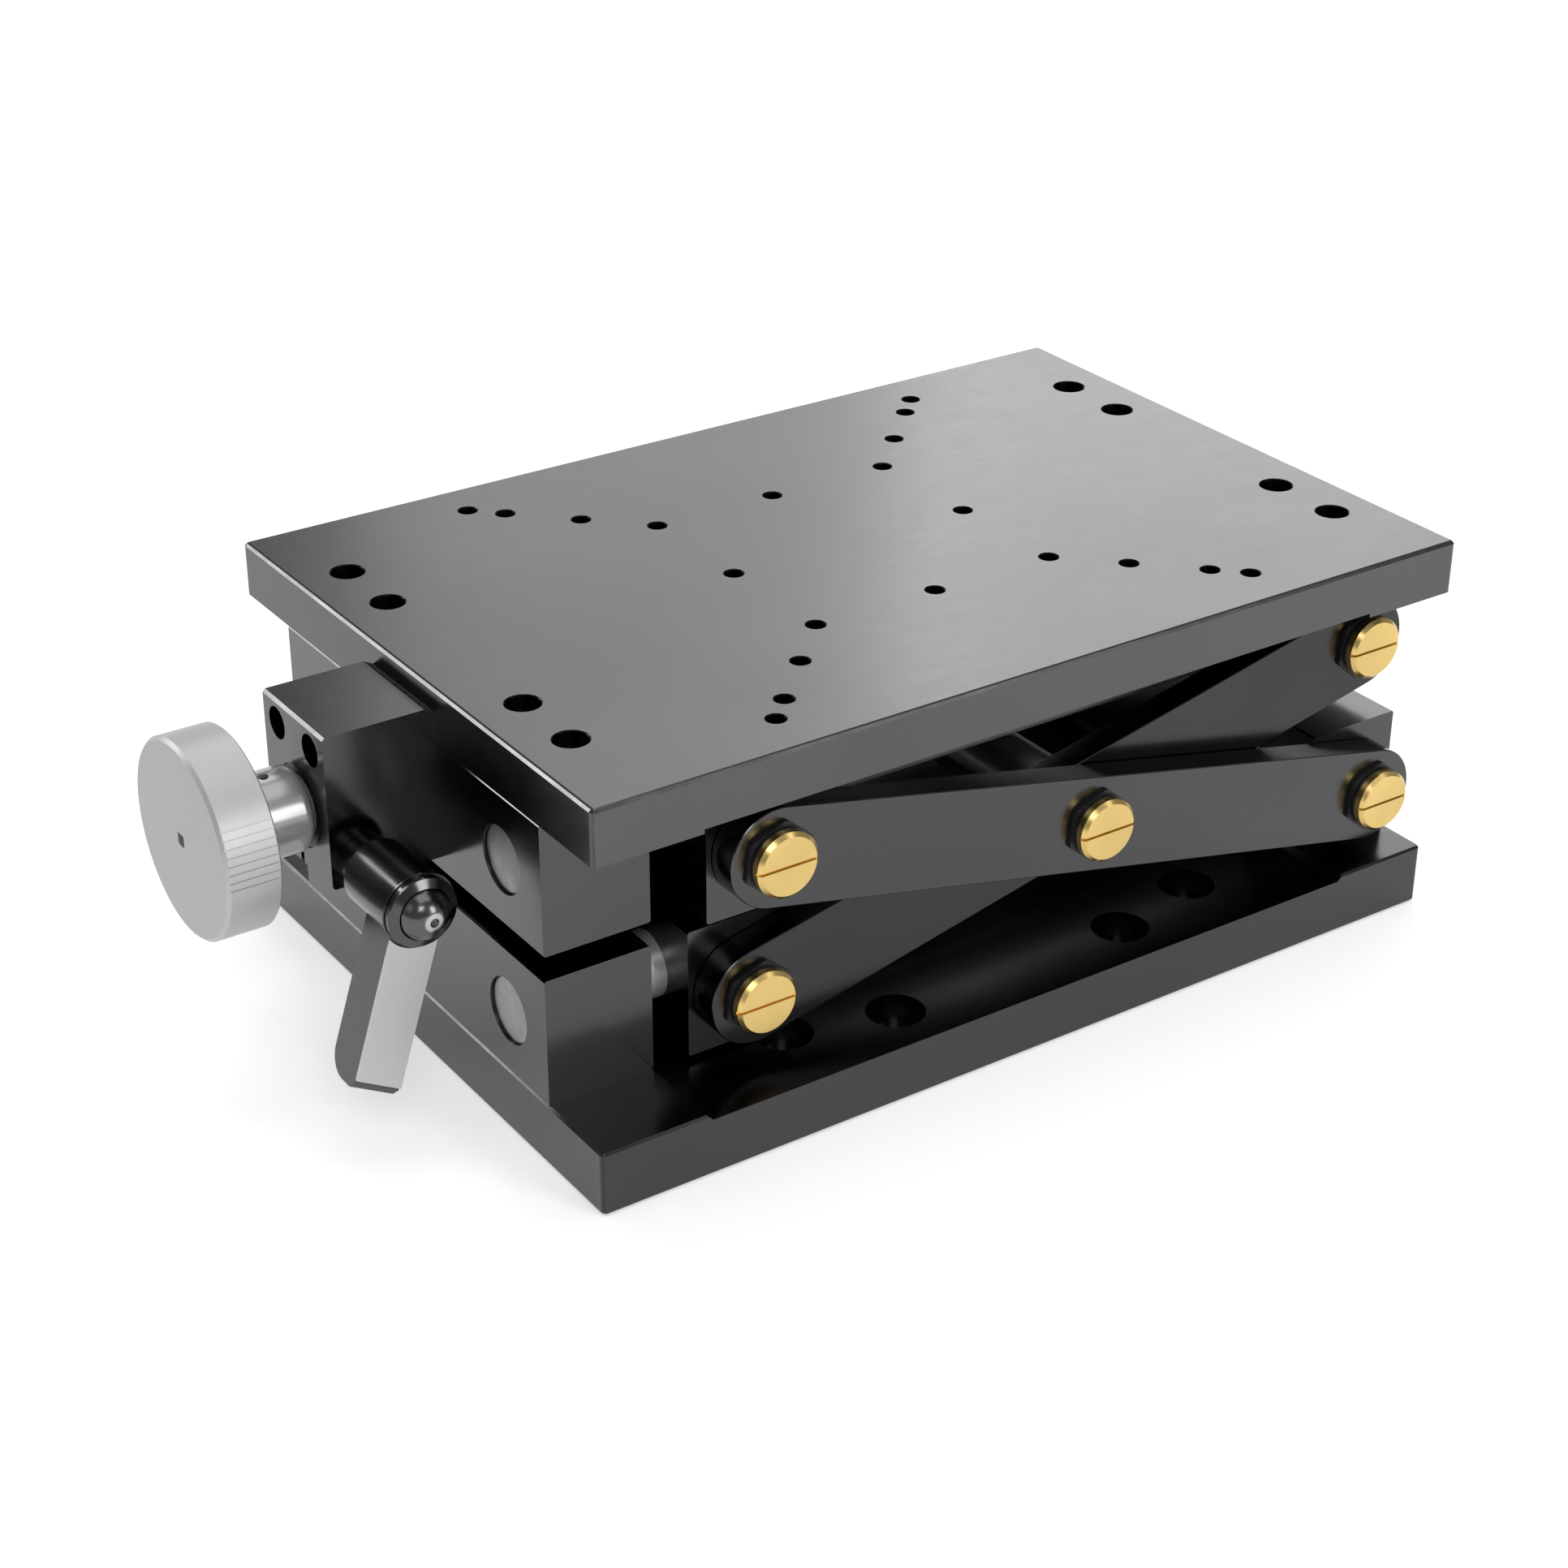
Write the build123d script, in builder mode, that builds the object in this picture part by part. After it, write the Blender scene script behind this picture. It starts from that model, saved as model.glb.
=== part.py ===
from build123d import *
import math
import os

os.makedirs("parts", exist_ok=True)

# Scissor lift stage, shown at its lowest position.
# Millimetres, +Z up, X along the length (hand knob at -X), Y across the width.
# Origin: centre of the base plate's underside.

# ---------------------------------------------------------------- dimensions
plate_len = 180.0          # base and table, along X
plate_wid = 120.0          # base and table, along Y
base_t = 12.0              # base plate thickness at its ends
base_relief = 1.1          # milled depth between the end blocks, base plate
top_t = 10.0               # table thickness at its ends
top_relief = 0.8           # milled depth between the end blocks, table underside
plate_chamfer = 0.55
corner_r = 1.0

block_len = 20.0           # every end block and carriage, along X
block_h = 24.0
lower_z0 = base_t
lower_z1 = lower_z0 + block_h
block_gap = 4.5            # between the lower and upper blocks when fully down
upper_z0 = lower_z1 + block_gap
upper_z1 = upper_z0 + block_h
height = upper_z1 + top_t  # 74.5 at rest
narrow_half = 43.5         # half width of the blocks that the inner arms bear on
wide_half = 49.4           # half width of the blocks that the outer arms bear on

lower_axis = (lower_z0 + lower_z1) / 2     # 24.0, height of the lower rods
upper_axis = (upper_z0 + upper_z1) / 2     # 52.5, height of the upper pivots and rods
lower_pivot = lower_axis - 0.5             # 23.5, height of the lower pivots
fixed_x = 80.5             # fixed pivots
slide_x = -53.0            # sliding pivots, fully down
centre_x = (fixed_x + slide_x) / 2
centre_z = (lower_pivot + upper_axis) / 2  # 38.0
arm_len = math.hypot(fixed_x - slide_x, upper_axis - lower_pivot)
arm_tilt = math.degrees(math.atan2(upper_axis - lower_pivot, fixed_x - slide_x))

rod_r = 6.0
rod_y = 31.0
rod_recess = 0.6           # the rod ends stand back in their bores
bush_od = 14.5             # plain bushes in the carriages
bush_set_back = 0.8        # they sit behind a thin wall on the drive side
run = 0.03                 # radial running clearance

arm_w = 18.0
arm_t = 5.65
arm_edge = 0.15
inner_back = narrow_half + 0.1
inner_front = inner_back + arm_t           # 49.25
outer_back = wide_half + 0.1               # 49.5
outer_front = outer_back + arm_t           # 55.15

sleeve_r = 4.0             # steel pivot sleeve
arm_bush_r = 5.5
hex_half = 6.05            # hexagonal flange, half its size across the flats
hex_turned_r = 6.78        # radius its corners are turned down to
hex_turn = 20.0
flange_t = 0.7
washer_r = 5.8
washer_t = 0.7
head_r = 5.9               # brass slotted head
head_t = 1.9
head_edge = 0.65
pivot_screw_r = 2.5
slot_w = 0.5
slot_d = 0.9

tube_r = 6.1
tube_spigot_r = 5.4
shaft_r = 4.5
shaft_spigot_r = 3.5

screw_z = upper_axis + 2.0 # 54.5, height of the lead screw
screw_r = 4.0
screw_x0 = -126.0
screw_x1 = -8.0
nut_r = 6.5
nut_flange_r = 9.5

drive_x0 = -110.2
drive_x1 = -90.0
drive_half = 10.7
drive_z0 = 43.5
drive_z1 = 71.3
bearing_r = 7.3            # hidden behind the drive collar

knob_r = 17.2
knob_x0 = -131.0
knob_x1 = -121.5
grip_lines = 8             # fine grooves in each of the two opposite grips
grip_pitch = 4.75          # degrees between grooves
grip_middle = 168.5        # degrees, middle of the front grip
collar_r = 7.45
collar_x1 = -110.35
collar_round = 1.75
collar_hole_x = -116.3

lever_x = -104.4
lever_z = 47.5
lever_tilt = 17.7          # arm angle from straight down, towards the knob
hub_r = 6.0
lever_half = 4.6           # half width on the side away from the knob
lever_back = 4.0           # and on the knob's side
lever_len1 = 32.2          # length on the knob's side
lever_len2 = 34.0          # and on the other side
lever_y1 = 21.4            # the arm lies between this and lever_y2, behind its face plate
lever_y2 = 29.4

fix_x = 80.5               # plate fixing screws
fix_y1, fix_y2 = 23.0, 38.0
m3_r = 1.5
m3_head_r = 2.75
m3_cbore_r = 3.0
m3_cbore_d = 6.6
tap_r = 1.7                # M4 tapped holes in the table
base_hole_r = 3.3          # M6 clearance
base_cbore_r = 5.3
base_cbore_d = 6.0

block_l_x = -(plate_len - block_len) / 2   # -80, left end blocks
block_r_x = (plate_len - block_len) / 2    # 80, right end blocks

fix_points = [(sx * fix_x, sy * y) for sx in (-1, 1) for sy in (-1, 1) for y in (fix_y1, fix_y2)]
grub_points_l = [(block_l_x, -rod_y), (block_l_x, rod_y)]
grub_points_r = [(74.0, -rod_y), (74.0, rod_y)]
grid_points = [(sx * d, sy * d) for d in (25.0, 35.0, 45.0, 50.0) for sx in (-1, 1) for sy in (-1, 1)]
cross_points = [(0, 25.0), (0, -25.0), (25.0, 0), (-25.0, 0)]
base_points = [(sx * 25.0, sy * 50.0) for sx in (-1, 1) for sy in (-1, 1)] + [
    (sx * 45.0, sy * 45.0) for sx in (-1, 1) for sy in (-1, 1)
]

# ---------------------------------------------------------------- base plate
with BuildPart() as base_plate:
    with BuildSketch(Plane.XZ.offset(-plate_wid / 2)):
        with BuildLine():
            Polyline(
                (-plate_len / 2, 0),
                (plate_len / 2, 0),
                (plate_len / 2, base_t),
                (70.0, base_t),
                (70.0 - base_relief, base_t - base_relief),
                (-70.0 + base_relief, base_t - base_relief),
                (-70.0, base_t),
                (-plate_len / 2, base_t),
                close=True,
            )
        make_face()
    extrude(amount=plate_wid)
    fillet(base_plate.edges().filter_by(Axis.Z).filter_by(lambda e: abs(abs(e.center().Y) - plate_wid / 2) < 0.01 and abs(abs(e.center().X) - plate_len / 2) < 0.01), corner_r)
    chamfer(base_plate.faces().sort_by(Axis.Z)[0].outer_wire().edges(), plate_chamfer)
    chamfer(
        base_plate.edges().filter_by(Axis.Y).filter_by(
            lambda e: abs(e.center().Z - base_t) < 0.01 and abs(abs(e.center().X) - plate_len / 2) < 0.01
        ),
        0.42,
    )
    with Locations((0, 0, base_t - base_relief)):
        with Locations(*[(x, y, 0) for x, y in base_points]):
            CounterBoreHole(base_hole_r, base_cbore_r, base_cbore_d)
    with BuildSketch(Plane.XY):
        with Locations(*fix_points):
            Circle(m3_cbore_r)
    extrude(amount=m3_cbore_d, mode=Mode.SUBTRACT)
    with BuildSketch(Plane.XY):
        with Locations(*fix_points):
            Circle(m3_r + 0.1)
    extrude(amount=base_t, mode=Mode.SUBTRACT)
base_plate.part.label = "base_plate"
export_step(base_plate.part, "parts/base_plate.step")

# ---------------------------------------------------------------- lower end blocks
with BuildPart() as lower_left_block:
    with BuildSketch(Plane.XY.offset(lower_z0)):
        with Locations((block_l_x, 0)):
            Rectangle(block_len, 2 * narrow_half)
    extrude(amount=block_h)
    chamfer(lower_left_block.edges().filter_by(Axis.Y), 0.32)
    with BuildSketch(Plane.YZ.offset(-plate_len / 2)):
        with Locations((-rod_y, lower_axis), (rod_y, lower_axis)):
            Circle(rod_r)
    extrude(amount=block_len, mode=Mode.SUBTRACT)
    with BuildSketch(Plane.XY.offset(lower_z0)):
        with Locations(*[p for p in fix_points if p[0] < 0]):
            Circle(m3_r)
    extrude(amount=5.4, mode=Mode.SUBTRACT)
    with BuildSketch(Plane.XY.offset(lower_z0)):
        with Locations(*grub_points_l):
            Circle(2.0)
    extrude(amount=lower_axis - lower_z0, mode=Mode.SUBTRACT)
lower_left_block.part.label = "lower_left_block"
export_step(lower_left_block.part, "parts/lower_left_block.step")

with BuildPart() as lower_right_block:
    with BuildSketch(Plane.XY.offset(lower_z0)):
        with Locations((block_r_x, 0)):
            Rectangle(block_len, 2 * wide_half)
    extrude(amount=block_h)
    chamfer(lower_right_block.edges().filter_by(Axis.Y), 0.32)
    with BuildSketch(Plane.YZ.offset(plate_len / 2 - block_len)):
        with Locations((-rod_y, lower_axis), (rod_y, lower_axis)):
            Circle(rod_r)
    extrude(amount=block_len, mode=Mode.SUBTRACT)
    with BuildSketch(Plane.XY.offset(lower_z0)):
        with Locations(*[p for p in fix_points if p[0] > 0]):
            Circle(m3_r)
    extrude(amount=5.4, mode=Mode.SUBTRACT)
    with BuildSketch(Plane.XY.offset(lower_z0)):
        with Locations(*grub_points_r):
            Circle(2.0)
    extrude(amount=lower_axis - lower_z0, mode=Mode.SUBTRACT)
    with Locations(
        Plane(origin=(fixed_x, -wide_half, lower_pivot), x_dir=(1, 0, 0), z_dir=(0, -1, 0)),
        Plane(origin=(fixed_x, wide_half, lower_pivot), x_dir=(1, 0, 0), z_dir=(0, 1, 0)),
    ):
        Hole(pivot_screw_r, 8.0)
lower_right_block.part.label = "lower_right_block"
export_step(lower_right_block.part, "parts/lower_right_block.step")

# ---------------------------------------------------------------- lower guide rods
with BuildPart() as lower_guide_rod_front:
    with BuildSketch(Plane.YZ.offset(-plate_len / 2 + rod_recess)):
        with Locations((-rod_y, lower_axis)):
            Circle(rod_r)
    extrude(amount=plate_len - 2 * rod_recess)
    chamfer(lower_guide_rod_front.edges().filter_by(GeomType.CIRCLE), 0.3)
lower_guide_rod_front.part.label = "lower_guide_rod_front"
export_step(lower_guide_rod_front.part, "parts/lower_guide_rod_front.step")

with BuildPart() as lower_guide_rod_rear:
    with BuildSketch(Plane.YZ.offset(-plate_len / 2 + rod_recess)):
        with Locations((rod_y, lower_axis)):
            Circle(rod_r)
    extrude(amount=plate_len - 2 * rod_recess)
    chamfer(lower_guide_rod_rear.edges().filter_by(GeomType.CIRCLE), 0.3)
lower_guide_rod_rear.part.label = "lower_guide_rod_rear"
export_step(lower_guide_rod_rear.part, "parts/lower_guide_rod_rear.step")

# ---------------------------------------------------------------- base fasteners
with BuildPart() as base_plate_screws:
    with BuildSketch(Plane.XY.offset(m3_cbore_d - 3.0)):
        with Locations(*fix_points):
            Circle(m3_head_r)
    extrude(amount=3.0)
    with BuildSketch(Plane.XY.offset(m3_cbore_d)):
        with Locations(*fix_points):
            Circle(m3_r)
    extrude(amount=10.8)
    with BuildSketch(Plane.XY.offset(m3_cbore_d - 3.0)):
        with Locations(*fix_points):
            RegularPolygon(1.25, 6, major_radius=False)
    extrude(amount=1.4, mode=Mode.SUBTRACT)
base_plate_screws.part.label = "base_plate_screws"
export_step(base_plate_screws.part, "parts/base_plate_screws.step")

with BuildPart() as lower_rod_set_screws:
    with BuildSketch(Plane.XY.offset(lower_z0 + 0.8)):
        with Locations(*grub_points_l, *grub_points_r):
            Circle(2.0)
    extrude(amount=lower_axis - rod_r - lower_z0 - 0.8)
    with BuildSketch(Plane.XY.offset(lower_z0 + 0.8)):
        with Locations(*grub_points_l, *grub_points_r):
            RegularPolygon(1.0, 6, major_radius=False)
    extrude(amount=1.8, mode=Mode.SUBTRACT)
lower_rod_set_screws.part.label = "lower_rod_set_screws"
export_step(lower_rod_set_screws.part, "parts/lower_rod_set_screws.step")

# Each end pivot is a brass slotted screw through a shouldered steel sleeve.
# The screw is threaded into the block; the arm's bush turns on the sleeve.
with BuildPart() as base_pivot_screws:
    for side in (-1, 1):
        face = Plane(origin=(fixed_x, side * (wide_half - 8.0), lower_pivot), x_dir=(1, 0, 0), z_dir=(0, side, 0))
        with BuildSketch(face):
            Circle(pivot_screw_r)
        extrude(amount=outer_front + flange_t + 0.1 + washer_t - wide_half + 8.0)
        with BuildSketch(face.offset(outer_front + flange_t + 0.1 + washer_t - wide_half + 8.0)):
            Circle(head_r)
        extrude(amount=head_t)
    chamfer(base_pivot_screws.edges().filter_by(GeomType.CIRCLE).filter_by(lambda e: abs(e.radius - head_r) < 0.01 and abs(e.center().Y) > outer_front + flange_t + washer_t + 1.0), head_edge)
    for side in (-1, 1):
        with BuildSketch(Plane(origin=(fixed_x, side * (outer_front + flange_t + 0.1 + washer_t + head_t), lower_pivot), x_dir=(1, 0, 0), z_dir=(0, side, 0))):
            Rectangle(2 * head_r + 1, slot_w)
        extrude(amount=-slot_d, mode=Mode.SUBTRACT)
base_pivot_screws.part.label = "base_pivot_screws"
export_step(base_pivot_screws.part, "parts/base_pivot_screws.step")

with BuildPart() as base_pivot_sleeves:
    for side in (-1, 1):
        face = Plane(origin=(fixed_x, side * wide_half, lower_pivot), x_dir=(1, 0, 0), z_dir=(0, side, 0))
        with BuildSketch(face):
            Circle(sleeve_r)
            Circle(pivot_screw_r, mode=Mode.SUBTRACT)
        extrude(amount=outer_front + flange_t + 0.1 - wide_half)
        with BuildSketch(face.offset(outer_front + flange_t + 0.1 - wide_half)):
            Circle(washer_r)
            Circle(pivot_screw_r, mode=Mode.SUBTRACT)
        extrude(amount=washer_t)
base_pivot_sleeves.part.label = "base_pivot_sleeves"
export_step(base_pivot_sleeves.part, "parts/base_pivot_sleeves.step")

# ---------------------------------------------------------------- outer arms
with BuildPart() as outer_arm_front:
    with BuildSketch(Plane.XZ.offset(outer_back)):
        with Locations((centre_x, centre_z)):
            SlotCenterToCenter(arm_len, arm_w, rotation=-arm_tilt)
    extrude(amount=arm_t)
    chamfer(outer_arm_front.faces().filter_by(Axis.Y).edges(), arm_edge)
    with BuildSketch(Plane.XZ.offset(outer_back)):
        with Locations((slide_x, upper_axis), (fixed_x, lower_pivot)):
            Circle(arm_bush_r)
        with Locations((centre_x, centre_z)):
            Circle(shaft_spigot_r)
    extrude(amount=arm_t, mode=Mode.SUBTRACT)
outer_arm_front.part.label = "outer_arm_front"
export_step(outer_arm_front.part, "parts/outer_arm_front.step")

with BuildPart() as outer_arm_rear:
    with BuildSketch(Plane.XZ.offset(-outer_front)):
        with Locations((centre_x, centre_z)):
            SlotCenterToCenter(arm_len, arm_w, rotation=-arm_tilt)
    extrude(amount=arm_t)
    chamfer(outer_arm_rear.faces().filter_by(Axis.Y).edges(), arm_edge)
    with BuildSketch(Plane.XZ.offset(-outer_front)):
        with Locations((slide_x, upper_axis), (fixed_x, lower_pivot)):
            Circle(arm_bush_r)
        with Locations((centre_x, centre_z)):
            Circle(shaft_spigot_r)
    extrude(amount=arm_t, mode=Mode.SUBTRACT)
outer_arm_rear.part.label = "outer_arm_rear"
export_step(outer_arm_rear.part, "parts/outer_arm_rear.step")

with BuildPart() as outer_arm_bushes:
    for side in (-1, 1):
        for px, pz in ((slide_x, upper_axis), (fixed_x, lower_pivot)):
            face = Plane(origin=(px, side * outer_back, pz), x_dir=(1, 0, 0), z_dir=(0, side, 0))
            with BuildSketch(face):
                Circle(arm_bush_r)
                Circle(sleeve_r + run, mode=Mode.SUBTRACT)
            extrude(amount=arm_t)
            with BuildSketch(face.offset(arm_t)):
                RegularPolygon(hex_half, 6, major_radius=False, rotation=hex_turn)
                Circle(hex_turned_r, mode=Mode.INTERSECT)
                Circle(sleeve_r + run, mode=Mode.SUBTRACT)
            extrude(amount=flange_t)
outer_arm_bushes.part.label = "outer_arm_bushes"
export_step(outer_arm_bushes.part, "parts/outer_arm_bushes.step")

# The centre shaft joins the two outer arms and turns inside the centre tube.
with BuildPart() as centre_shaft:
    with BuildSketch(Plane.XZ.offset(-outer_back)):
        with Locations((centre_x, centre_z)):
            Circle(shaft_r)
    extrude(amount=2 * outer_back)
    with BuildSketch(Plane.XZ.offset(-outer_front)):
        with Locations((centre_x, centre_z)):
            Circle(shaft_spigot_r)
    extrude(amount=2 * outer_front)
    with Locations(
        Plane(origin=(centre_x, -outer_front, centre_z), x_dir=(1, 0, 0), z_dir=(0, -1, 0)),
        Plane(origin=(centre_x, outer_front, centre_z), x_dir=(1, 0, 0), z_dir=(0, 1, 0)),
    ):
        Hole(pivot_screw_r, 10.0)
centre_shaft.part.label = "centre_shaft"
export_step(centre_shaft.part, "parts/centre_shaft.step")

with BuildPart() as centre_rings:
    for side in (-1, 1):
        with BuildSketch(Plane(origin=(centre_x, side * outer_front, centre_z), x_dir=(1, 0, 0), z_dir=(0, side, 0))):
            RegularPolygon(hex_half, 6, major_radius=False, rotation=hex_turn)
            Circle(hex_turned_r, mode=Mode.INTERSECT)
            Circle(pivot_screw_r, mode=Mode.SUBTRACT)
        extrude(amount=flange_t)
centre_rings.part.label = "centre_rings"
export_step(centre_rings.part, "parts/centre_rings.step")

with BuildPart() as centre_washers:
    for side in (-1, 1):
        with BuildSketch(Plane(origin=(centre_x, side * (outer_front + flange_t), centre_z), x_dir=(1, 0, 0), z_dir=(0, side, 0))):
            Circle(washer_r)
            Circle(pivot_screw_r, mode=Mode.SUBTRACT)
        extrude(amount=washer_t + 0.1)
centre_washers.part.label = "centre_washers"
export_step(centre_washers.part, "parts/centre_washers.step")

with BuildPart() as centre_screws:
    for side in (-1, 1):
        face = Plane(origin=(centre_x, side * (outer_front - 10.0), centre_z), x_dir=(1, 0, 0), z_dir=(0, side, 0))
        with BuildSketch(face):
            Circle(pivot_screw_r)
        extrude(amount=10.0 + flange_t + 0.1 + washer_t)
        with BuildSketch(face.offset(10.0 + flange_t + 0.1 + washer_t)):
            Circle(head_r)
        extrude(amount=head_t)
    chamfer(centre_screws.edges().filter_by(GeomType.CIRCLE).filter_by(lambda e: abs(e.radius - head_r) < 0.01 and abs(e.center().Y) > outer_front + flange_t + washer_t + 1.0), head_edge)
    for side in (-1, 1):
        with BuildSketch(Plane(origin=(centre_x, side * (outer_front + flange_t + 0.1 + washer_t + head_t), centre_z), x_dir=(1, 0, 0), z_dir=(0, side, 0))):
            Rectangle(2 * head_r + 1, slot_w)
        extrude(amount=-slot_d, mode=Mode.SUBTRACT)
centre_screws.part.label = "centre_screws"
export_step(centre_screws.part, "parts/centre_screws.step")

# ---------------------------------------------------------------- inner arms
with BuildPart() as inner_arm_front:
    with BuildSketch(Plane.XZ.offset(inner_back)):
        with Locations((centre_x, centre_z)):
            SlotCenterToCenter(arm_len, arm_w, rotation=arm_tilt)
    extrude(amount=arm_t)
    chamfer(inner_arm_front.faces().filter_by(Axis.Y).edges(), arm_edge)
    with BuildSketch(Plane.XZ.offset(inner_back)):
        with Locations((slide_x, lower_pivot), (fixed_x, upper_axis)):
            Circle(arm_bush_r)
        with Locations((centre_x, centre_z)):
            Circle(tube_spigot_r)
    extrude(amount=arm_t, mode=Mode.SUBTRACT)
inner_arm_front.part.label = "inner_arm_front"
export_step(inner_arm_front.part, "parts/inner_arm_front.step")

with BuildPart() as inner_arm_rear:
    with BuildSketch(Plane.XZ.offset(-inner_front)):
        with Locations((centre_x, centre_z)):
            SlotCenterToCenter(arm_len, arm_w, rotation=arm_tilt)
    extrude(amount=arm_t)
    chamfer(inner_arm_rear.faces().filter_by(Axis.Y).edges(), arm_edge)
    with BuildSketch(Plane.XZ.offset(-inner_front)):
        with Locations((slide_x, lower_pivot), (fixed_x, upper_axis)):
            Circle(arm_bush_r)
        with Locations((centre_x, centre_z)):
            Circle(tube_spigot_r)
    extrude(amount=arm_t, mode=Mode.SUBTRACT)
inner_arm_rear.part.label = "inner_arm_rear"
export_step(inner_arm_rear.part, "parts/inner_arm_rear.step")

with BuildPart() as inner_arm_bushes:
    for side in (-1, 1):
        for px, pz in ((slide_x, lower_pivot), (fixed_x, upper_axis)):
            face = Plane(origin=(px, side * inner_back, pz), x_dir=(1, 0, 0), z_dir=(0, side, 0))
            with BuildSketch(face):
                Circle(arm_bush_r)
                Circle(sleeve_r + run, mode=Mode.SUBTRACT)
            extrude(amount=arm_t)
            with BuildSketch(face.offset(arm_t)):
                RegularPolygon(hex_half, 6, major_radius=False, rotation=hex_turn)
                Circle(hex_turned_r, mode=Mode.INTERSECT)
                Circle(sleeve_r + run, mode=Mode.SUBTRACT)
            extrude(amount=flange_t)
inner_arm_bushes.part.label = "inner_arm_bushes"
export_step(inner_arm_bushes.part, "parts/inner_arm_bushes.step")

with BuildPart() as centre_tube:
    with BuildSketch(Plane.XZ.offset(-inner_back)):
        with Locations((centre_x, centre_z)):
            Circle(tube_r)
    extrude(amount=2 * inner_back)
    with BuildSketch(Plane.XZ.offset(-inner_front)):
        with Locations((centre_x, centre_z)):
            Circle(tube_spigot_r)
    extrude(amount=2 * inner_front)
    with BuildSketch(Plane.XZ.offset(-inner_front)):
        with Locations((centre_x, centre_z)):
            Circle(shaft_r + 0.05)
    extrude(amount=2 * inner_front, mode=Mode.SUBTRACT)
centre_tube.part.label = "centre_tube"
export_step(centre_tube.part, "parts/centre_tube.step")

# ---------------------------------------------------------------- table plate
with BuildPart() as top_plate:
    with BuildSketch(Plane.XZ.offset(-plate_wid / 2)):
        with BuildLine():
            Polyline(
                (-plate_len / 2, upper_z1),
                (-70.0, upper_z1),
                (-70.0, upper_z1 + top_relief),
                (70.0, upper_z1 + top_relief),
                (70.0, upper_z1),
                (plate_len / 2, upper_z1),
                (plate_len / 2, height),
                (-plate_len / 2, height),
                close=True,
            )
        make_face()
    extrude(amount=plate_wid)
    fillet(top_plate.edges().filter_by(Axis.Z).filter_by(lambda e: abs(abs(e.center().Y) - plate_wid / 2) < 0.01 and abs(abs(e.center().X) - plate_len / 2) < 0.01), corner_r)
    chamfer(top_plate.faces().sort_by(Axis.Z)[-1].outer_wire().edges(), plate_chamfer)
    with BuildSketch(Plane.XY.offset(height)):
        with Locations(*fix_points):
            Circle(m3_cbore_r)
    extrude(amount=-m3_cbore_d, mode=Mode.SUBTRACT)
    with BuildSketch(Plane.XY.offset(height)):
        with Locations(*fix_points):
            Circle(m3_r + 0.1)
    extrude(amount=-top_t, mode=Mode.SUBTRACT)
    with BuildSketch(Plane.XY.offset(height)):
        with Locations(*grid_points, *cross_points):
            Circle(tap_r)
    extrude(amount=-top_t, mode=Mode.SUBTRACT)
    chamfer(
        top_plate.edges().filter_by(GeomType.CIRCLE).filter_by(lambda e: abs(e.center().Z - height) < 0.01),
        0.2,
    )
    with Locations(
        Plane(origin=(-plate_len / 2, -5.9, 67.15), x_dir=(0, 1, 0), z_dir=(-1, 0, 0)),
        Plane(origin=(-plate_len / 2, 5.9, 67.15), x_dir=(0, 1, 0), z_dir=(-1, 0, 0)),
    ):
        Hole(m3_r, 8.0)
top_plate.part.label = "top_plate"
export_step(top_plate.part, "parts/top_plate.step")

# ---------------------------------------------------------------- upper end blocks
with BuildPart() as upper_left_block:
    with BuildSketch(Plane.XY.offset(upper_z0)):
        with Locations((block_l_x, 0)):
            Rectangle(block_len, 2 * narrow_half)
    extrude(amount=block_h)
    chamfer(upper_left_block.edges().filter_by(Axis.Y), 0.32)
    with BuildSketch(Plane.YZ.offset(-plate_len / 2)):
        with Locations((-rod_y, upper_axis), (rod_y, upper_axis)):
            Circle(rod_r)
        with Locations((0, screw_z)):
            Circle(screw_r + 0.5)
    extrude(amount=block_len, mode=Mode.SUBTRACT)
    with BuildSketch(Plane.YZ.offset(-plate_len / 2 + block_len)):
        with Locations((0, screw_z)):
            Circle(8.0)
    extrude(amount=-5.0, mode=Mode.SUBTRACT)
    with BuildSketch(Plane.XY.offset(upper_z1)):
        with Locations(*[p for p in fix_points if p[0] < 0]):
            Circle(m3_r)
    extrude(amount=-5.4, mode=Mode.SUBTRACT)
    with BuildSketch(Plane.XY.offset(upper_z1)):
        with Locations(*grub_points_l):
            Circle(2.0)
    extrude(amount=-(upper_z1 - upper_axis), mode=Mode.SUBTRACT)
upper_left_block.part.label = "upper_left_block"
export_step(upper_left_block.part, "parts/upper_left_block.step")

with BuildPart() as upper_right_block:
    with BuildSketch(Plane.XY.offset(upper_z0)):
        with Locations((block_r_x, 0)):
            Rectangle(block_len, 2 * narrow_half)
    extrude(amount=block_h)
    chamfer(upper_right_block.edges().filter_by(Axis.Y), 0.32)
    with BuildSketch(Plane.YZ.offset(plate_len / 2 - block_len)):
        with Locations((-rod_y, upper_axis), (rod_y, upper_axis)):
            Circle(rod_r)
    extrude(amount=block_len, mode=Mode.SUBTRACT)
    with BuildSketch(Plane.XY.offset(upper_z1)):
        with Locations(*[p for p in fix_points if p[0] > 0]):
            Circle(m3_r)
    extrude(amount=-5.4, mode=Mode.SUBTRACT)
    with BuildSketch(Plane.XY.offset(upper_z1)):
        with Locations(*grub_points_r):
            Circle(2.0)
    extrude(amount=-(upper_z1 - upper_axis), mode=Mode.SUBTRACT)
    with Locations(
        Plane(origin=(fixed_x, -narrow_half, upper_axis), x_dir=(1, 0, 0), z_dir=(0, -1, 0)),
        Plane(origin=(fixed_x, narrow_half, upper_axis), x_dir=(1, 0, 0), z_dir=(0, 1, 0)),
    ):
        Hole(pivot_screw_r, 4.8)
upper_right_block.part.label = "upper_right_block"
export_step(upper_right_block.part, "parts/upper_right_block.step")

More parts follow.
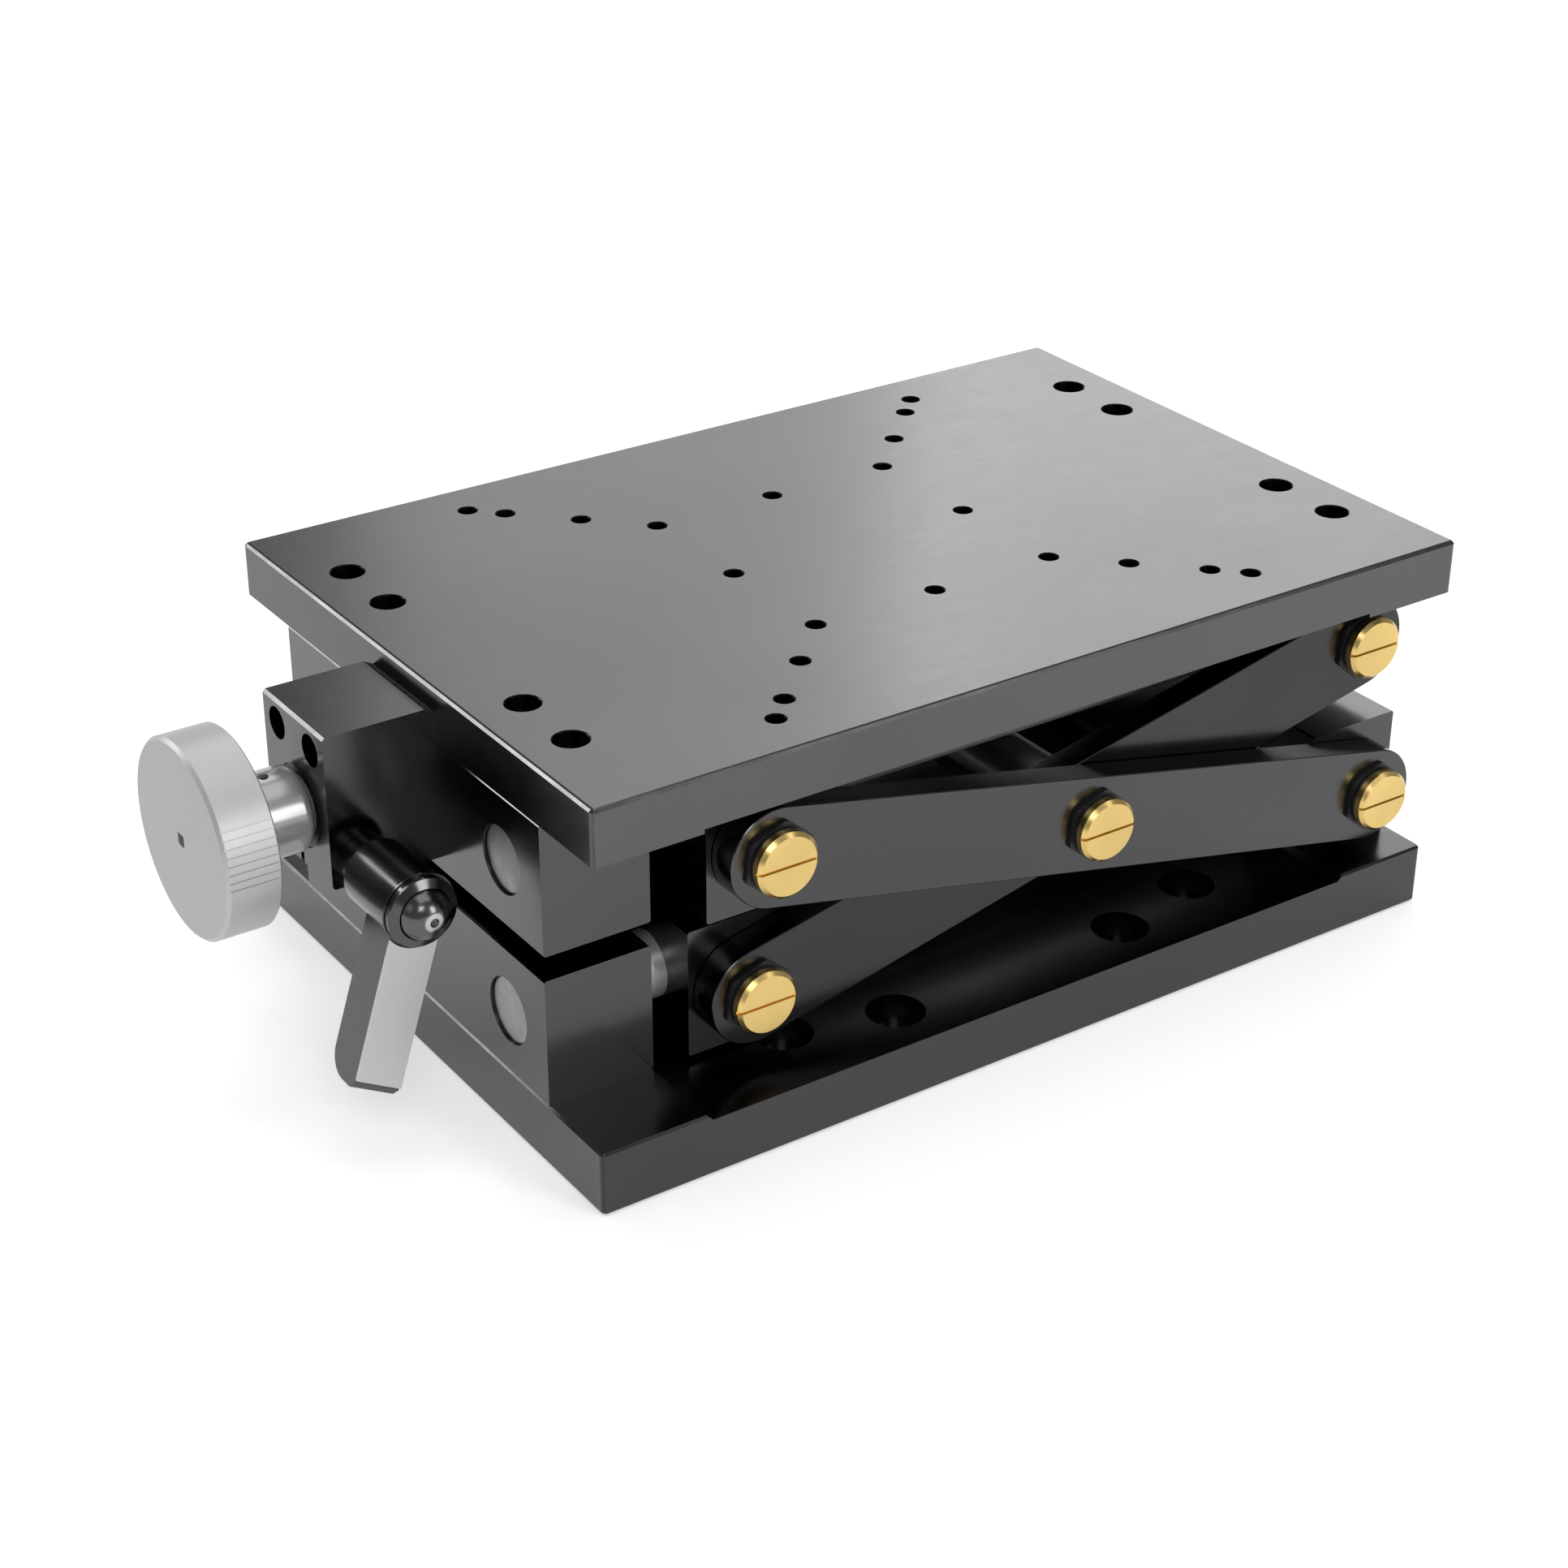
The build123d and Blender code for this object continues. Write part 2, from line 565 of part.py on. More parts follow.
# ---------------------------------------------------------------- upper guide rods
with BuildPart() as upper_guide_rod_front:
    with BuildSketch(Plane.YZ.offset(-plate_len / 2 + rod_recess)):
        with Locations((-rod_y, upper_axis)):
            Circle(rod_r)
    extrude(amount=plate_len - 2 * rod_recess)
    chamfer(upper_guide_rod_front.edges().filter_by(GeomType.CIRCLE), 0.3)
upper_guide_rod_front.part.label = "upper_guide_rod_front"
export_step(upper_guide_rod_front.part, "parts/upper_guide_rod_front.step")

with BuildPart() as upper_guide_rod_rear:
    with BuildSketch(Plane.YZ.offset(-plate_len / 2 + rod_recess)):
        with Locations((rod_y, upper_axis)):
            Circle(rod_r)
    extrude(amount=plate_len - 2 * rod_recess)
    chamfer(upper_guide_rod_rear.edges().filter_by(GeomType.CIRCLE), 0.3)
upper_guide_rod_rear.part.label = "upper_guide_rod_rear"
export_step(upper_guide_rod_rear.part, "parts/upper_guide_rod_rear.step")

# ---------------------------------------------------------------- table fasteners
with BuildPart() as top_plate_screws:
    with BuildSketch(Plane.XY.offset(height - m3_cbore_d)):
        with Locations(*fix_points):
            Circle(m3_head_r)
    extrude(amount=3.0)
    with BuildSketch(Plane.XY.offset(height - m3_cbore_d)):
        with Locations(*fix_points):
            Circle(m3_r)
    extrude(amount=-8.8)
    with BuildSketch(Plane.XY.offset(height - m3_cbore_d + 3.0)):
        with Locations(*fix_points):
            RegularPolygon(1.25, 6, major_radius=False)
    extrude(amount=-1.4, mode=Mode.SUBTRACT)
top_plate_screws.part.label = "top_plate_screws"
export_step(top_plate_screws.part, "parts/top_plate_screws.step")

with BuildPart() as upper_rod_set_screws:
    with BuildSketch(Plane.XY.offset(upper_z1 - 0.8)):
        with Locations(*grub_points_l, *grub_points_r):
            Circle(2.0)
    extrude(amount=-(upper_z1 - 0.8 - upper_axis - rod_r))
    with BuildSketch(Plane.XY.offset(upper_z1 - 0.8)):
        with Locations(*grub_points_l, *grub_points_r):
            RegularPolygon(1.0, 6, major_radius=False)
    extrude(amount=-1.8, mode=Mode.SUBTRACT)
upper_rod_set_screws.part.label = "upper_rod_set_screws"
export_step(upper_rod_set_screws.part, "parts/upper_rod_set_screws.step")

with BuildPart() as table_pivot_screws:
    for side in (-1, 1):
        face = Plane(origin=(fixed_x, side * (narrow_half - 4.8), upper_axis), x_dir=(1, 0, 0), z_dir=(0, side, 0))
        with BuildSketch(face):
            Circle(pivot_screw_r)
        extrude(amount=inner_front + flange_t + 0.1 + washer_t - narrow_half + 4.8)
        with BuildSketch(face.offset(inner_front + flange_t + 0.1 + washer_t - narrow_half + 4.8)):
            Circle(head_r)
        extrude(amount=head_t)
    chamfer(table_pivot_screws.edges().filter_by(GeomType.CIRCLE).filter_by(lambda e: abs(e.radius - head_r) < 0.01 and abs(e.center().Y) > inner_front + flange_t + washer_t + 1.0), head_edge)
    for side in (-1, 1):
        with BuildSketch(Plane(origin=(fixed_x, side * (inner_front + flange_t + 0.1 + washer_t + head_t), upper_axis), x_dir=(1, 0, 0), z_dir=(0, side, 0))):
            Rectangle(2 * head_r + 1, slot_w)
        extrude(amount=-slot_d, mode=Mode.SUBTRACT)
table_pivot_screws.part.label = "table_pivot_screws"
export_step(table_pivot_screws.part, "parts/table_pivot_screws.step")

with BuildPart() as table_pivot_sleeves:
    for side in (-1, 1):
        face = Plane(origin=(fixed_x, side * narrow_half, upper_axis), x_dir=(1, 0, 0), z_dir=(0, side, 0))
        with BuildSketch(face):
            Circle(sleeve_r)
            Circle(pivot_screw_r, mode=Mode.SUBTRACT)
        extrude(amount=inner_front + flange_t + 0.1 - narrow_half)
        with BuildSketch(face.offset(inner_front + flange_t + 0.1 - narrow_half)):
            Circle(washer_r)
            Circle(pivot_screw_r, mode=Mode.SUBTRACT)
        extrude(amount=washer_t)
table_pivot_sleeves.part.label = "table_pivot_sleeves"
export_step(table_pivot_sleeves.part, "parts/table_pivot_sleeves.step")

# ---------------------------------------------------------------- drive block
# Split clamp block on the table's left end: it carries the lead screw, and its
# slit is closed by the clamp lever's stud.
with BuildPart() as drive_block:
    with BuildSketch(Plane.XY.offset(drive_z0)):
        with Locations(((drive_x0 + drive_x1) / 2, 0)):
            Rectangle(drive_x1 - drive_x0, 2 * drive_half)
    extrude(amount=drive_z1 - drive_z0)
    chamfer(
        drive_block.edges().filter_by(Axis.Y).filter_by(lambda e: e.center().X > -95 and e.center().Z > 60),
        0.9, 1.8,
    )
    chamfer(
        drive_block.edges().filter_by(Axis.Y).filter_by(lambda e: e.center().X < -105),
        0.5,
    )
    with BuildSketch(Plane.YZ.offset(drive_x0)):
        with Locations((0, screw_z)):
            Circle(screw_r + 0.05)
    extrude(amount=drive_x1 - drive_x0, mode=Mode.SUBTRACT)
    with BuildSketch(Plane.YZ.offset(drive_x0)):
        with Locations((0, screw_z)):
            Circle(bearing_r)
    extrude(amount=2.5, mode=Mode.SUBTRACT)
    with BuildSketch(Plane.YZ.offset(drive_x0)):
        with Locations((0, (drive_z0 + screw_z - 3.5) / 2)):
            Rectangle(1.2, screw_z - 3.5 - drive_z0)
    extrude(amount=drive_x1 - drive_x0, mode=Mode.SUBTRACT)
    with BuildSketch(Plane.XZ.offset(0)):
        with Locations((lever_x, lever_z)):
            Circle(2.5 + 0.08)
    extrude(amount=drive_half, mode=Mode.SUBTRACT)
    with BuildSketch(Plane.XZ.offset(-drive_half)):
        with Locations((lever_x, lever_z)):
            Circle(2.5 + run)
    extrude(amount=drive_half, mode=Mode.SUBTRACT)
    with Locations(
        Plane(origin=(drive_x0, -5.9, 67.15), x_dir=(0, 1, 0), z_dir=(-1, 0, 0)),
        Plane(origin=(drive_x0, 5.9, 67.15), x_dir=(0, 1, 0), z_dir=(-1, 0, 0)),
    ):
        CounterBoreHole(m3_r + 0.1, 2.85, 12.0)
drive_block.part.label = "drive_block"
export_step(drive_block.part, "parts/drive_block.step")

with BuildPart() as drive_block_screws:
    with BuildSketch(Plane.YZ.offset(drive_x0 + 9.0)):
        with Locations((-5.9, 67.15), (5.9, 67.15)):
            Circle(m3_head_r)
    extrude(amount=3.0)
    with BuildSketch(Plane.YZ.offset(drive_x0 + 12.0)):
        with Locations((-5.9, 67.15), (5.9, 67.15)):
            Circle(m3_r)
    extrude(amount=16.0)
    with BuildSketch(Plane.YZ.offset(drive_x0 + 9.0)):
        with Locations((-5.9, 67.15), (5.9, 67.15)):
            RegularPolygon(1.25, 6, major_radius=False)
    extrude(amount=1.4, mode=Mode.SUBTRACT)
drive_block_screws.part.label = "drive_block_screws"
export_step(drive_block_screws.part, "parts/drive_block_screws.step")

with BuildPart() as drive_bearing:
    with BuildSketch(Plane.YZ.offset(drive_x0 + 0.4)):
        with Locations((0, screw_z)):
            Circle(bearing_r)
            Circle(screw_r + run, mode=Mode.SUBTRACT)
    extrude(amount=2.1)
    with BuildSketch(Plane.YZ.offset(drive_x0 + 0.4)):
        with Locations((0, screw_z)):
            Circle(6.6)
            Circle(5.2, mode=Mode.SUBTRACT)
    extrude(amount=0.25, mode=Mode.SUBTRACT)
drive_bearing.part.label = "drive_bearing"
export_step(drive_bearing.part, "parts/drive_bearing.step")

with BuildPart() as screw_bearing:
    with BuildSketch(Plane.YZ.offset(-75.0)):
        with Locations((0, screw_z)):
            Circle(8.0)
            Circle(screw_r + run, mode=Mode.SUBTRACT)
    extrude(amount=4.9)
    with BuildSketch(Plane.YZ.offset(-70.1)):
        with Locations((0, screw_z)):
            Circle(7.0)
            Circle(5.4, mode=Mode.SUBTRACT)
    extrude(amount=-0.25, mode=Mode.SUBTRACT)
screw_bearing.part.label = "screw_bearing"
export_step(screw_bearing.part, "parts/screw_bearing.step")

# ---------------------------------------------------------------- upper carriage
with BuildPart() as upper_carriage_block:
    with BuildSketch(Plane.XY.offset(upper_z0)):
        with Locations((slide_x, 0)):
            Rectangle(block_len, 2 * wide_half)
    extrude(amount=block_h)
    chamfer(upper_carriage_block.edges().filter_by(Axis.Y), 0.32)
    with BuildSketch(Plane.YZ.offset(slide_x - block_len / 2)):
        with Locations((-rod_y, upper_axis), (rod_y, upper_axis)):
            Circle(rod_r + 0.1)
        with Locations((0, screw_z)):
            Circle(nut_r)
    extrude(amount=block_len, mode=Mode.SUBTRACT)
    with BuildSketch(Plane.YZ.offset(slide_x - block_len / 2 + bush_set_back)):
        with Locations((-rod_y, upper_axis), (rod_y, upper_axis)):
            Circle(bush_od / 2)
    extrude(amount=block_len - bush_set_back, mode=Mode.SUBTRACT)
    with Locations(
        Plane(origin=(slide_x + block_len / 2, 0, screw_z), x_dir=(0, 1, 0), z_dir=(1, 0, 0)),
    ):
        with PolarLocations(7.9, 4, start_angle=45):
            Hole(1.0, 5.0)
    with Locations(
        Plane(origin=(slide_x, -wide_half, upper_axis), x_dir=(1, 0, 0), z_dir=(0, -1, 0)),
        Plane(origin=(slide_x, wide_half, upper_axis), x_dir=(1, 0, 0), z_dir=(0, 1, 0)),
    ):
        Hole(pivot_screw_r, 8.0)
upper_carriage_block.part.label = "upper_carriage_block"
export_step(upper_carriage_block.part, "parts/upper_carriage_block.step")

with BuildPart() as upper_carriage_bushes:
    with BuildSketch(Plane.YZ.offset(slide_x - block_len / 2 + bush_set_back)):
        with Locations((-rod_y, upper_axis), (rod_y, upper_axis)):
            Circle(bush_od / 2)
            Circle(rod_r + run, mode=Mode.SUBTRACT)
    extrude(amount=block_len - bush_set_back)
upper_carriage_bushes.part.label = "upper_carriage_bushes"
export_step(upper_carriage_bushes.part, "parts/upper_carriage_bushes.step")

with BuildPart() as lead_nut:
    with BuildSketch(Plane.YZ.offset(slide_x - block_len / 2)):
        with Locations((0, screw_z)):
            Circle(nut_r)
    extrude(amount=block_len)
    with BuildSketch(Plane.YZ.offset(slide_x + block_len / 2)):
        with Locations((0, screw_z)):
            Circle(nut_flange_r)
    extrude(amount=3.0)
    with BuildSketch(Plane.YZ.offset(slide_x - block_len / 2)):
        with Locations((0, screw_z)):
            Circle(screw_r + 0.04)
    extrude(amount=block_len + 3.0, mode=Mode.SUBTRACT)
    with Locations(
        Plane(origin=(slide_x + block_len / 2 + 3.0, 0, screw_z), x_dir=(0, 1, 0), z_dir=(1, 0, 0)),
    ):
        with PolarLocations(7.9, 4, start_angle=45):
            Hole(1.0, 3.0)
lead_nut.part.label = "lead_nut"
export_step(lead_nut.part, "parts/lead_nut.step")

with BuildPart() as lead_nut_screws:
    with BuildSketch(Plane.YZ.offset(slide_x + block_len / 2 - 5.0)):
        with Locations((0, screw_z)):
            with PolarLocations(7.9, 4, start_angle=45):
                Circle(1.0)
    extrude(amount=8.0)
    with BuildSketch(Plane.YZ.offset(slide_x + block_len / 2 + 3.0)):
        with Locations((0, screw_z)):
            with PolarLocations(7.9, 4, start_angle=45):
                Circle(1.5)
    extrude(amount=1.3)
lead_nut_screws.part.label = "lead_nut_screws"
export_step(lead_nut_screws.part, "parts/lead_nut_screws.step")

with BuildPart() as upper_carriage_pivot_screws:
    for side in (-1, 1):
        face = Plane(origin=(slide_x, side * (wide_half - 8.0), upper_axis), x_dir=(1, 0, 0), z_dir=(0, side, 0))
        with BuildSketch(face):
            Circle(pivot_screw_r)
        extrude(amount=outer_front + flange_t + 0.1 + washer_t - wide_half + 8.0)
        with BuildSketch(face.offset(outer_front + flange_t + 0.1 + washer_t - wide_half + 8.0)):
            Circle(head_r)
        extrude(amount=head_t)
    chamfer(upper_carriage_pivot_screws.edges().filter_by(GeomType.CIRCLE).filter_by(lambda e: abs(e.radius - head_r) < 0.01 and abs(e.center().Y) > outer_front + flange_t + washer_t + 1.0), head_edge)
    for side in (-1, 1):
        with BuildSketch(Plane(origin=(slide_x, side * (outer_front + flange_t + 0.1 + washer_t + head_t), upper_axis), x_dir=(1, 0, 0), z_dir=(0, side, 0))):
            Rectangle(2 * head_r + 1, slot_w)
        extrude(amount=-slot_d, mode=Mode.SUBTRACT)
upper_carriage_pivot_screws.part.label = "upper_carriage_pivot_screws"
export_step(upper_carriage_pivot_screws.part, "parts/upper_carriage_pivot_screws.step")

with BuildPart() as upper_carriage_pivot_sleeves:
    for side in (-1, 1):
        face = Plane(origin=(slide_x, side * wide_half, upper_axis), x_dir=(1, 0, 0), z_dir=(0, side, 0))
        with BuildSketch(face):
            Circle(sleeve_r)
            Circle(pivot_screw_r, mode=Mode.SUBTRACT)
        extrude(amount=outer_front + flange_t + 0.1 - wide_half)
        with BuildSketch(face.offset(outer_front + flange_t + 0.1 - wide_half)):
            Circle(washer_r)
            Circle(pivot_screw_r, mode=Mode.SUBTRACT)
        extrude(amount=washer_t)
upper_carriage_pivot_sleeves.part.label = "upper_carriage_pivot_sleeves"
export_step(upper_carriage_pivot_sleeves.part, "parts/upper_carriage_pivot_sleeves.step")

# ---------------------------------------------------------------- lower carriage
with BuildPart() as lower_carriage_block:
    with BuildSketch(Plane.XY.offset(lower_z0)):
        with Locations((slide_x, 0)):
            Rectangle(block_len, 2 * narrow_half)
    extrude(amount=block_h)
    chamfer(lower_carriage_block.edges().filter_by(Axis.Y), 0.32)
    with BuildSketch(Plane.YZ.offset(slide_x - block_len / 2)):
        with Locations((-rod_y, lower_axis), (rod_y, lower_axis)):
            Circle(rod_r + 0.1)
    extrude(amount=block_len, mode=Mode.SUBTRACT)
    with BuildSketch(Plane.YZ.offset(slide_x - block_len / 2 + bush_set_back)):
        with Locations((-rod_y, lower_axis), (rod_y, lower_axis)):
            Circle(bush_od / 2)
    extrude(amount=block_len - bush_set_back, mode=Mode.SUBTRACT)
    with Locations(
        Plane(origin=(slide_x, -narrow_half, lower_pivot), x_dir=(1, 0, 0), z_dir=(0, -1, 0)),
        Plane(origin=(slide_x, narrow_half, lower_pivot), x_dir=(1, 0, 0), z_dir=(0, 1, 0)),
    ):
        Hole(pivot_screw_r, 4.8)
lower_carriage_block.part.label = "lower_carriage_block"
export_step(lower_carriage_block.part, "parts/lower_carriage_block.step")

with BuildPart() as lower_carriage_bushes:
    with BuildSketch(Plane.YZ.offset(slide_x - block_len / 2 + bush_set_back)):
        with Locations((-rod_y, lower_axis), (rod_y, lower_axis)):
            Circle(bush_od / 2)
            Circle(rod_r + run, mode=Mode.SUBTRACT)
    extrude(amount=block_len - bush_set_back)
lower_carriage_bushes.part.label = "lower_carriage_bushes"
export_step(lower_carriage_bushes.part, "parts/lower_carriage_bushes.step")

with BuildPart() as lower_carriage_pivot_screws:
    for side in (-1, 1):
        face = Plane(origin=(slide_x, side * (narrow_half - 4.8), lower_pivot), x_dir=(1, 0, 0), z_dir=(0, side, 0))
        with BuildSketch(face):
            Circle(pivot_screw_r)
        extrude(amount=inner_front + flange_t + 0.1 + washer_t - narrow_half + 4.8)
        with BuildSketch(face.offset(inner_front + flange_t + 0.1 + washer_t - narrow_half + 4.8)):
            Circle(head_r)
        extrude(amount=head_t)
    chamfer(lower_carriage_pivot_screws.edges().filter_by(GeomType.CIRCLE).filter_by(lambda e: abs(e.radius - head_r) < 0.01 and abs(e.center().Y) > inner_front + flange_t + washer_t + 1.0), head_edge)
    for side in (-1, 1):
        with BuildSketch(Plane(origin=(slide_x, side * (inner_front + flange_t + 0.1 + washer_t + head_t), lower_pivot), x_dir=(1, 0, 0), z_dir=(0, side, 0))):
            Rectangle(2 * head_r + 1, slot_w)
        extrude(amount=-slot_d, mode=Mode.SUBTRACT)
lower_carriage_pivot_screws.part.label = "lower_carriage_pivot_screws"
export_step(lower_carriage_pivot_screws.part, "parts/lower_carriage_pivot_screws.step")

with BuildPart() as lower_carriage_pivot_sleeves:
    for side in (-1, 1):
        face = Plane(origin=(slide_x, side * narrow_half, lower_pivot), x_dir=(1, 0, 0), z_dir=(0, side, 0))
        with BuildSketch(face):
            Circle(sleeve_r)
            Circle(pivot_screw_r, mode=Mode.SUBTRACT)
        extrude(amount=inner_front + flange_t + 0.1 - narrow_half)
        with BuildSketch(face.offset(inner_front + flange_t + 0.1 - narrow_half)):
            Circle(washer_r)
            Circle(pivot_screw_r, mode=Mode.SUBTRACT)
        extrude(amount=washer_t)
lower_carriage_pivot_sleeves.part.label = "lower_carriage_pivot_sleeves"
export_step(lower_carriage_pivot_sleeves.part, "parts/lower_carriage_pivot_sleeves.step")

# ---------------------------------------------------------------- hand drive
with BuildPart() as knob:
    with BuildSketch(Plane.YZ.offset(knob_x0)):
        with Locations((0, screw_z)):
            Circle(knob_r)
    extrude(amount=knob_x1 - knob_x0)
    chamfer(knob.edges().filter_by(GeomType.CIRCLE).sort_by(Axis.X)[0], 0.6)
    chamfer(knob.edges().filter_by(GeomType.CIRCLE).sort_by(Axis.X)[-1], 0.3)
    with BuildSketch(Plane.YZ.offset(knob_x0)):
        with Locations((0, screw_z)):
            for middle in (grip_middle, grip_middle + 180):
                with PolarLocations(knob_r, grip_lines, middle - grip_pitch * (grip_lines - 1) / 2, grip_pitch * grip_lines):
                    Rectangle(0.30, 0.26)
    extrude(amount=knob_x1 - knob_x0, mode=Mode.SUBTRACT)
    with BuildSketch(Plane.YZ.offset(knob_x1)):
        with Locations((0, screw_z)):
            Circle(screw_r)
    extrude(amount=screw_x0 - knob_x1, mode=Mode.SUBTRACT)
    with BuildSketch(Plane.YZ.offset(knob_x0)):
        with Locations((0, screw_z)):
            RectangleRounded(2.2, 2.2, 0.4)
    extrude(amount=2.5, mode=Mode.SUBTRACT)
knob.part.label = "knob"
export_step(knob.part, "parts/knob.step")

set_screw_dir = (0, math.cos(math.radians(95)), math.sin(math.radians(95)))
with BuildPart() as drive_collar:
    with BuildSketch(Plane.YZ.offset(knob_x1)):
        with Locations((0, screw_z)):
            Circle(collar_r)
    extrude(amount=collar_x1 - knob_x1)
    fillet(drive_collar.faces().sort_by(Axis.X)[-1].edges(), collar_round)
    with BuildSketch(Plane.YZ.offset(collar_x1)):
        with Locations((0, screw_z)):
            Circle(5.6)
    extrude(amount=drive_x0 + 0.3 - collar_x1)
    with BuildSketch(Plane.YZ.offset(knob_x1)):
        with Locations((0, screw_z)):
            Circle(screw_r)
    extrude(amount=drive_x0 + 0.3 - knob_x1, mode=Mode.SUBTRACT)
    with BuildSketch(Plane(origin=(collar_hole_x, 0, screw_z), x_dir=(1, 0, 0), z_dir=set_screw_dir).offset(screw_r - 0.5)):
        Circle(0.9)
    extrude(amount=6.0, mode=Mode.SUBTRACT)
drive_collar.part.label = "drive_collar"
export_step(drive_collar.part, "parts/drive_collar.step")

with BuildPart() as collar_set_screw:
    with BuildSketch(Plane(origin=(collar_hole_x, 0, screw_z), x_dir=(1, 0, 0), z_dir=set_screw_dir).offset(screw_r)):
        Circle(0.9)
    extrude(amount=2.6)
    with BuildSketch(Plane(origin=(collar_hole_x, 0, screw_z), x_dir=(1, 0, 0), z_dir=set_screw_dir).offset(screw_r + 2.6)):
        RegularPolygon(0.45, 6, major_radius=False)
    extrude(amount=-1.2, mode=Mode.SUBTRACT)
collar_set_screw.part.label = "collar_set_screw"
export_step(collar_set_screw.part, "parts/collar_set_screw.step")

with BuildPart() as lead_screw:
    with BuildSketch(Plane.YZ.offset(screw_x0)):
        with Locations((0, screw_z)):
            Circle(screw_r)
    extrude(amount=screw_x1 - screw_x0)
    chamfer(lead_screw.edges().filter_by(GeomType.CIRCLE), 0.6)
lead_screw.part.label = "lead_screw"
export_step(lead_screw.part, "parts/lead_screw.step")

with BuildPart() as screw_lock_ring:
    with BuildSketch(Plane.YZ.offset(-69.9)):
        with Locations((0, screw_z)):
            Circle(5.3)
    extrude(amount=0.9)
    with BuildSketch(Plane.YZ.offset(-69.0)):
        with Locations((0, screw_z)):
            Circle(7.5)
    extrude(amount=4.0)
    chamfer(screw_lock_ring.faces().sort_by(Axis.X)[-1].edges(), 0.4)
    with BuildSketch(Plane.YZ.offset(-69.9)):
        with Locations((0, screw_z)):
            Circle(screw_r)
    extrude(amount=4.9, mode=Mode.SUBTRACT)
screw_lock_ring.part.label = "screw_lock_ring"
export_step(screw_lock_ring.part, "parts/screw_lock_ring.step")

# ---------------------------------------------------------------- clamp lever
with BuildPart() as clamp_stud:
    with BuildSketch(Plane.XZ.offset(-9.5)):
        with Locations((lever_x, lever_z)):
            Circle(2.5)
    extrude(amount=9.5 + 27.9)
    chamfer(clamp_stud.edges().filter_by(GeomType.CIRCLE), 0.4)
clamp_stud.part.label = "clamp_stud"
export_step(clamp_stud.part, "parts/clamp_stud.step")

with BuildPart() as clamp_neck:
    with BuildSketch(Plane.XZ.offset(drive_half + 0.1)):
        with Locations((lever_x, lever_z)):
            Circle(4.7)
            Circle(2.5, mode=Mode.SUBTRACT)
    extrude(amount=15.0 - drive_half - 0.1)
clamp_neck.part.label = "clamp_neck"
export_step(clamp_neck.part, "parts/clamp_neck.step")

with BuildPart() as clamp_hub:
    with BuildSketch(Plane.XZ.offset(15.0)):
        with Locations((lever_x, lever_z)):
            Circle(hub_r)
    extrude(amount=14.6)
    chamfer(clamp_hub.faces().sort_by(Axis.Y)[-1].edges(), 0.5)
    with BuildSketch(Plane.XZ.offset(15.0)):
        with Locations((lever_x, lever_z)):
            Circle(2.5)
    extrude(amount=12.9, mode=Mode.SUBTRACT)
    with BuildSketch(Plane.XZ.offset(27.9)):
        with Locations((lever_x, lever_z)):
            Circle(5.3)
    extrude(amount=1.7, mode=Mode.SUBTRACT)
clamp_hub.part.label = "clamp_hub"
export_step(clamp_hub.part, "parts/clamp_hub.step")

# The lever's outline, measured from the hub's axis: along the arm, then across it.
tilt = math.radians(lever_tilt)
along = (-math.sin(tilt), -math.cos(tilt))
across = (math.cos(tilt), -math.sin(tilt))


def lever_point(u, v):
    return (lever_x + along[0] * u + across[0] * v, lever_z + along[1] * u + across[1] * v)


lever_tip = math.hypot(lever_len2 - lever_len1, lever_back + lever_half)

with BuildPart() as lever_arm:
    with BuildSketch(Plane.XZ.offset(lever_y1)):
        with BuildLine():
            Polyline(
                lever_point(0, -lever_back),
                lever_point(lever_len1, -lever_back),
                lever_point(lever_len2, lever_half),
                lever_point(0, lever_half),
                close=True,
            )
        make_face()
    extrude(amount=lever_y2 - lever_y1)
    fillet(lever_arm.edges().filter_by(lambda e: e.center().Z < 20 and abs(e.center().Y + lever_y1) < 0.01 and abs(e.length - lever_tip) < 0.1), 4.2)
    chamfer(lever_arm.edges().filter_by(lambda e: e.center().Z < 20 and abs(e.center().Y + lever_y2) < 0.01 and abs(e.length - lever_tip) < 0.1), 1.3)
    with BuildSketch(Plane.XZ.offset(lever_y1)):
        with Locations((lever_x, lever_z)):
            Circle(hub_r)
    extrude(amount=lever_y2 - lever_y1, mode=Mode.SUBTRACT)
lever_arm.part.label = "lever_arm"
export_step(lever_arm.part, "parts/lever_arm.step")

with BuildPart() as lever_face:
    with BuildSketch(Plane.XZ.offset(lever_y2)):
        with BuildLine():
            Polyline(
                lever_point(0, -lever_back),
                lever_point(lever_len1 - 1.9, -lever_back),
                lever_point(lever_len2 - 1.9, lever_half),
                lever_point(0, lever_half),
                close=True,
            )
        make_face()
        with Locations((lever_x, lever_z)):
            Circle(6.7, mode=Mode.SUBTRACT)
    extrude(amount=0.6)
lever_face.part.label = "lever_face"
export_step(lever_face.part, "parts/lever_face.step")

with BuildPart() as clamp_ring:
    with BuildSketch(Plane.XY.offset(lever_z)):
        with BuildLine():
            Polyline(
                (lever_x + 4.55, -29.6),
                (lever_x + 6.5, -29.6),
                (lever_x + 6.5, -29.75),
                (lever_x + 6.4, -29.85),
                (lever_x + 6.2, -29.85),
                (lever_x + 6.2, -30.85),
                (lever_x + 5.98, -31.07),
                (lever_x + 4.55, -31.75),
                close=True,
            )
        make_face()
    revolve(axis=Axis((lever_x, 0, lever_z), (0, 1, 0)))
clamp_ring.part.label = "clamp_ring"
export_step(clamp_ring.part, "parts/clamp_ring.step")

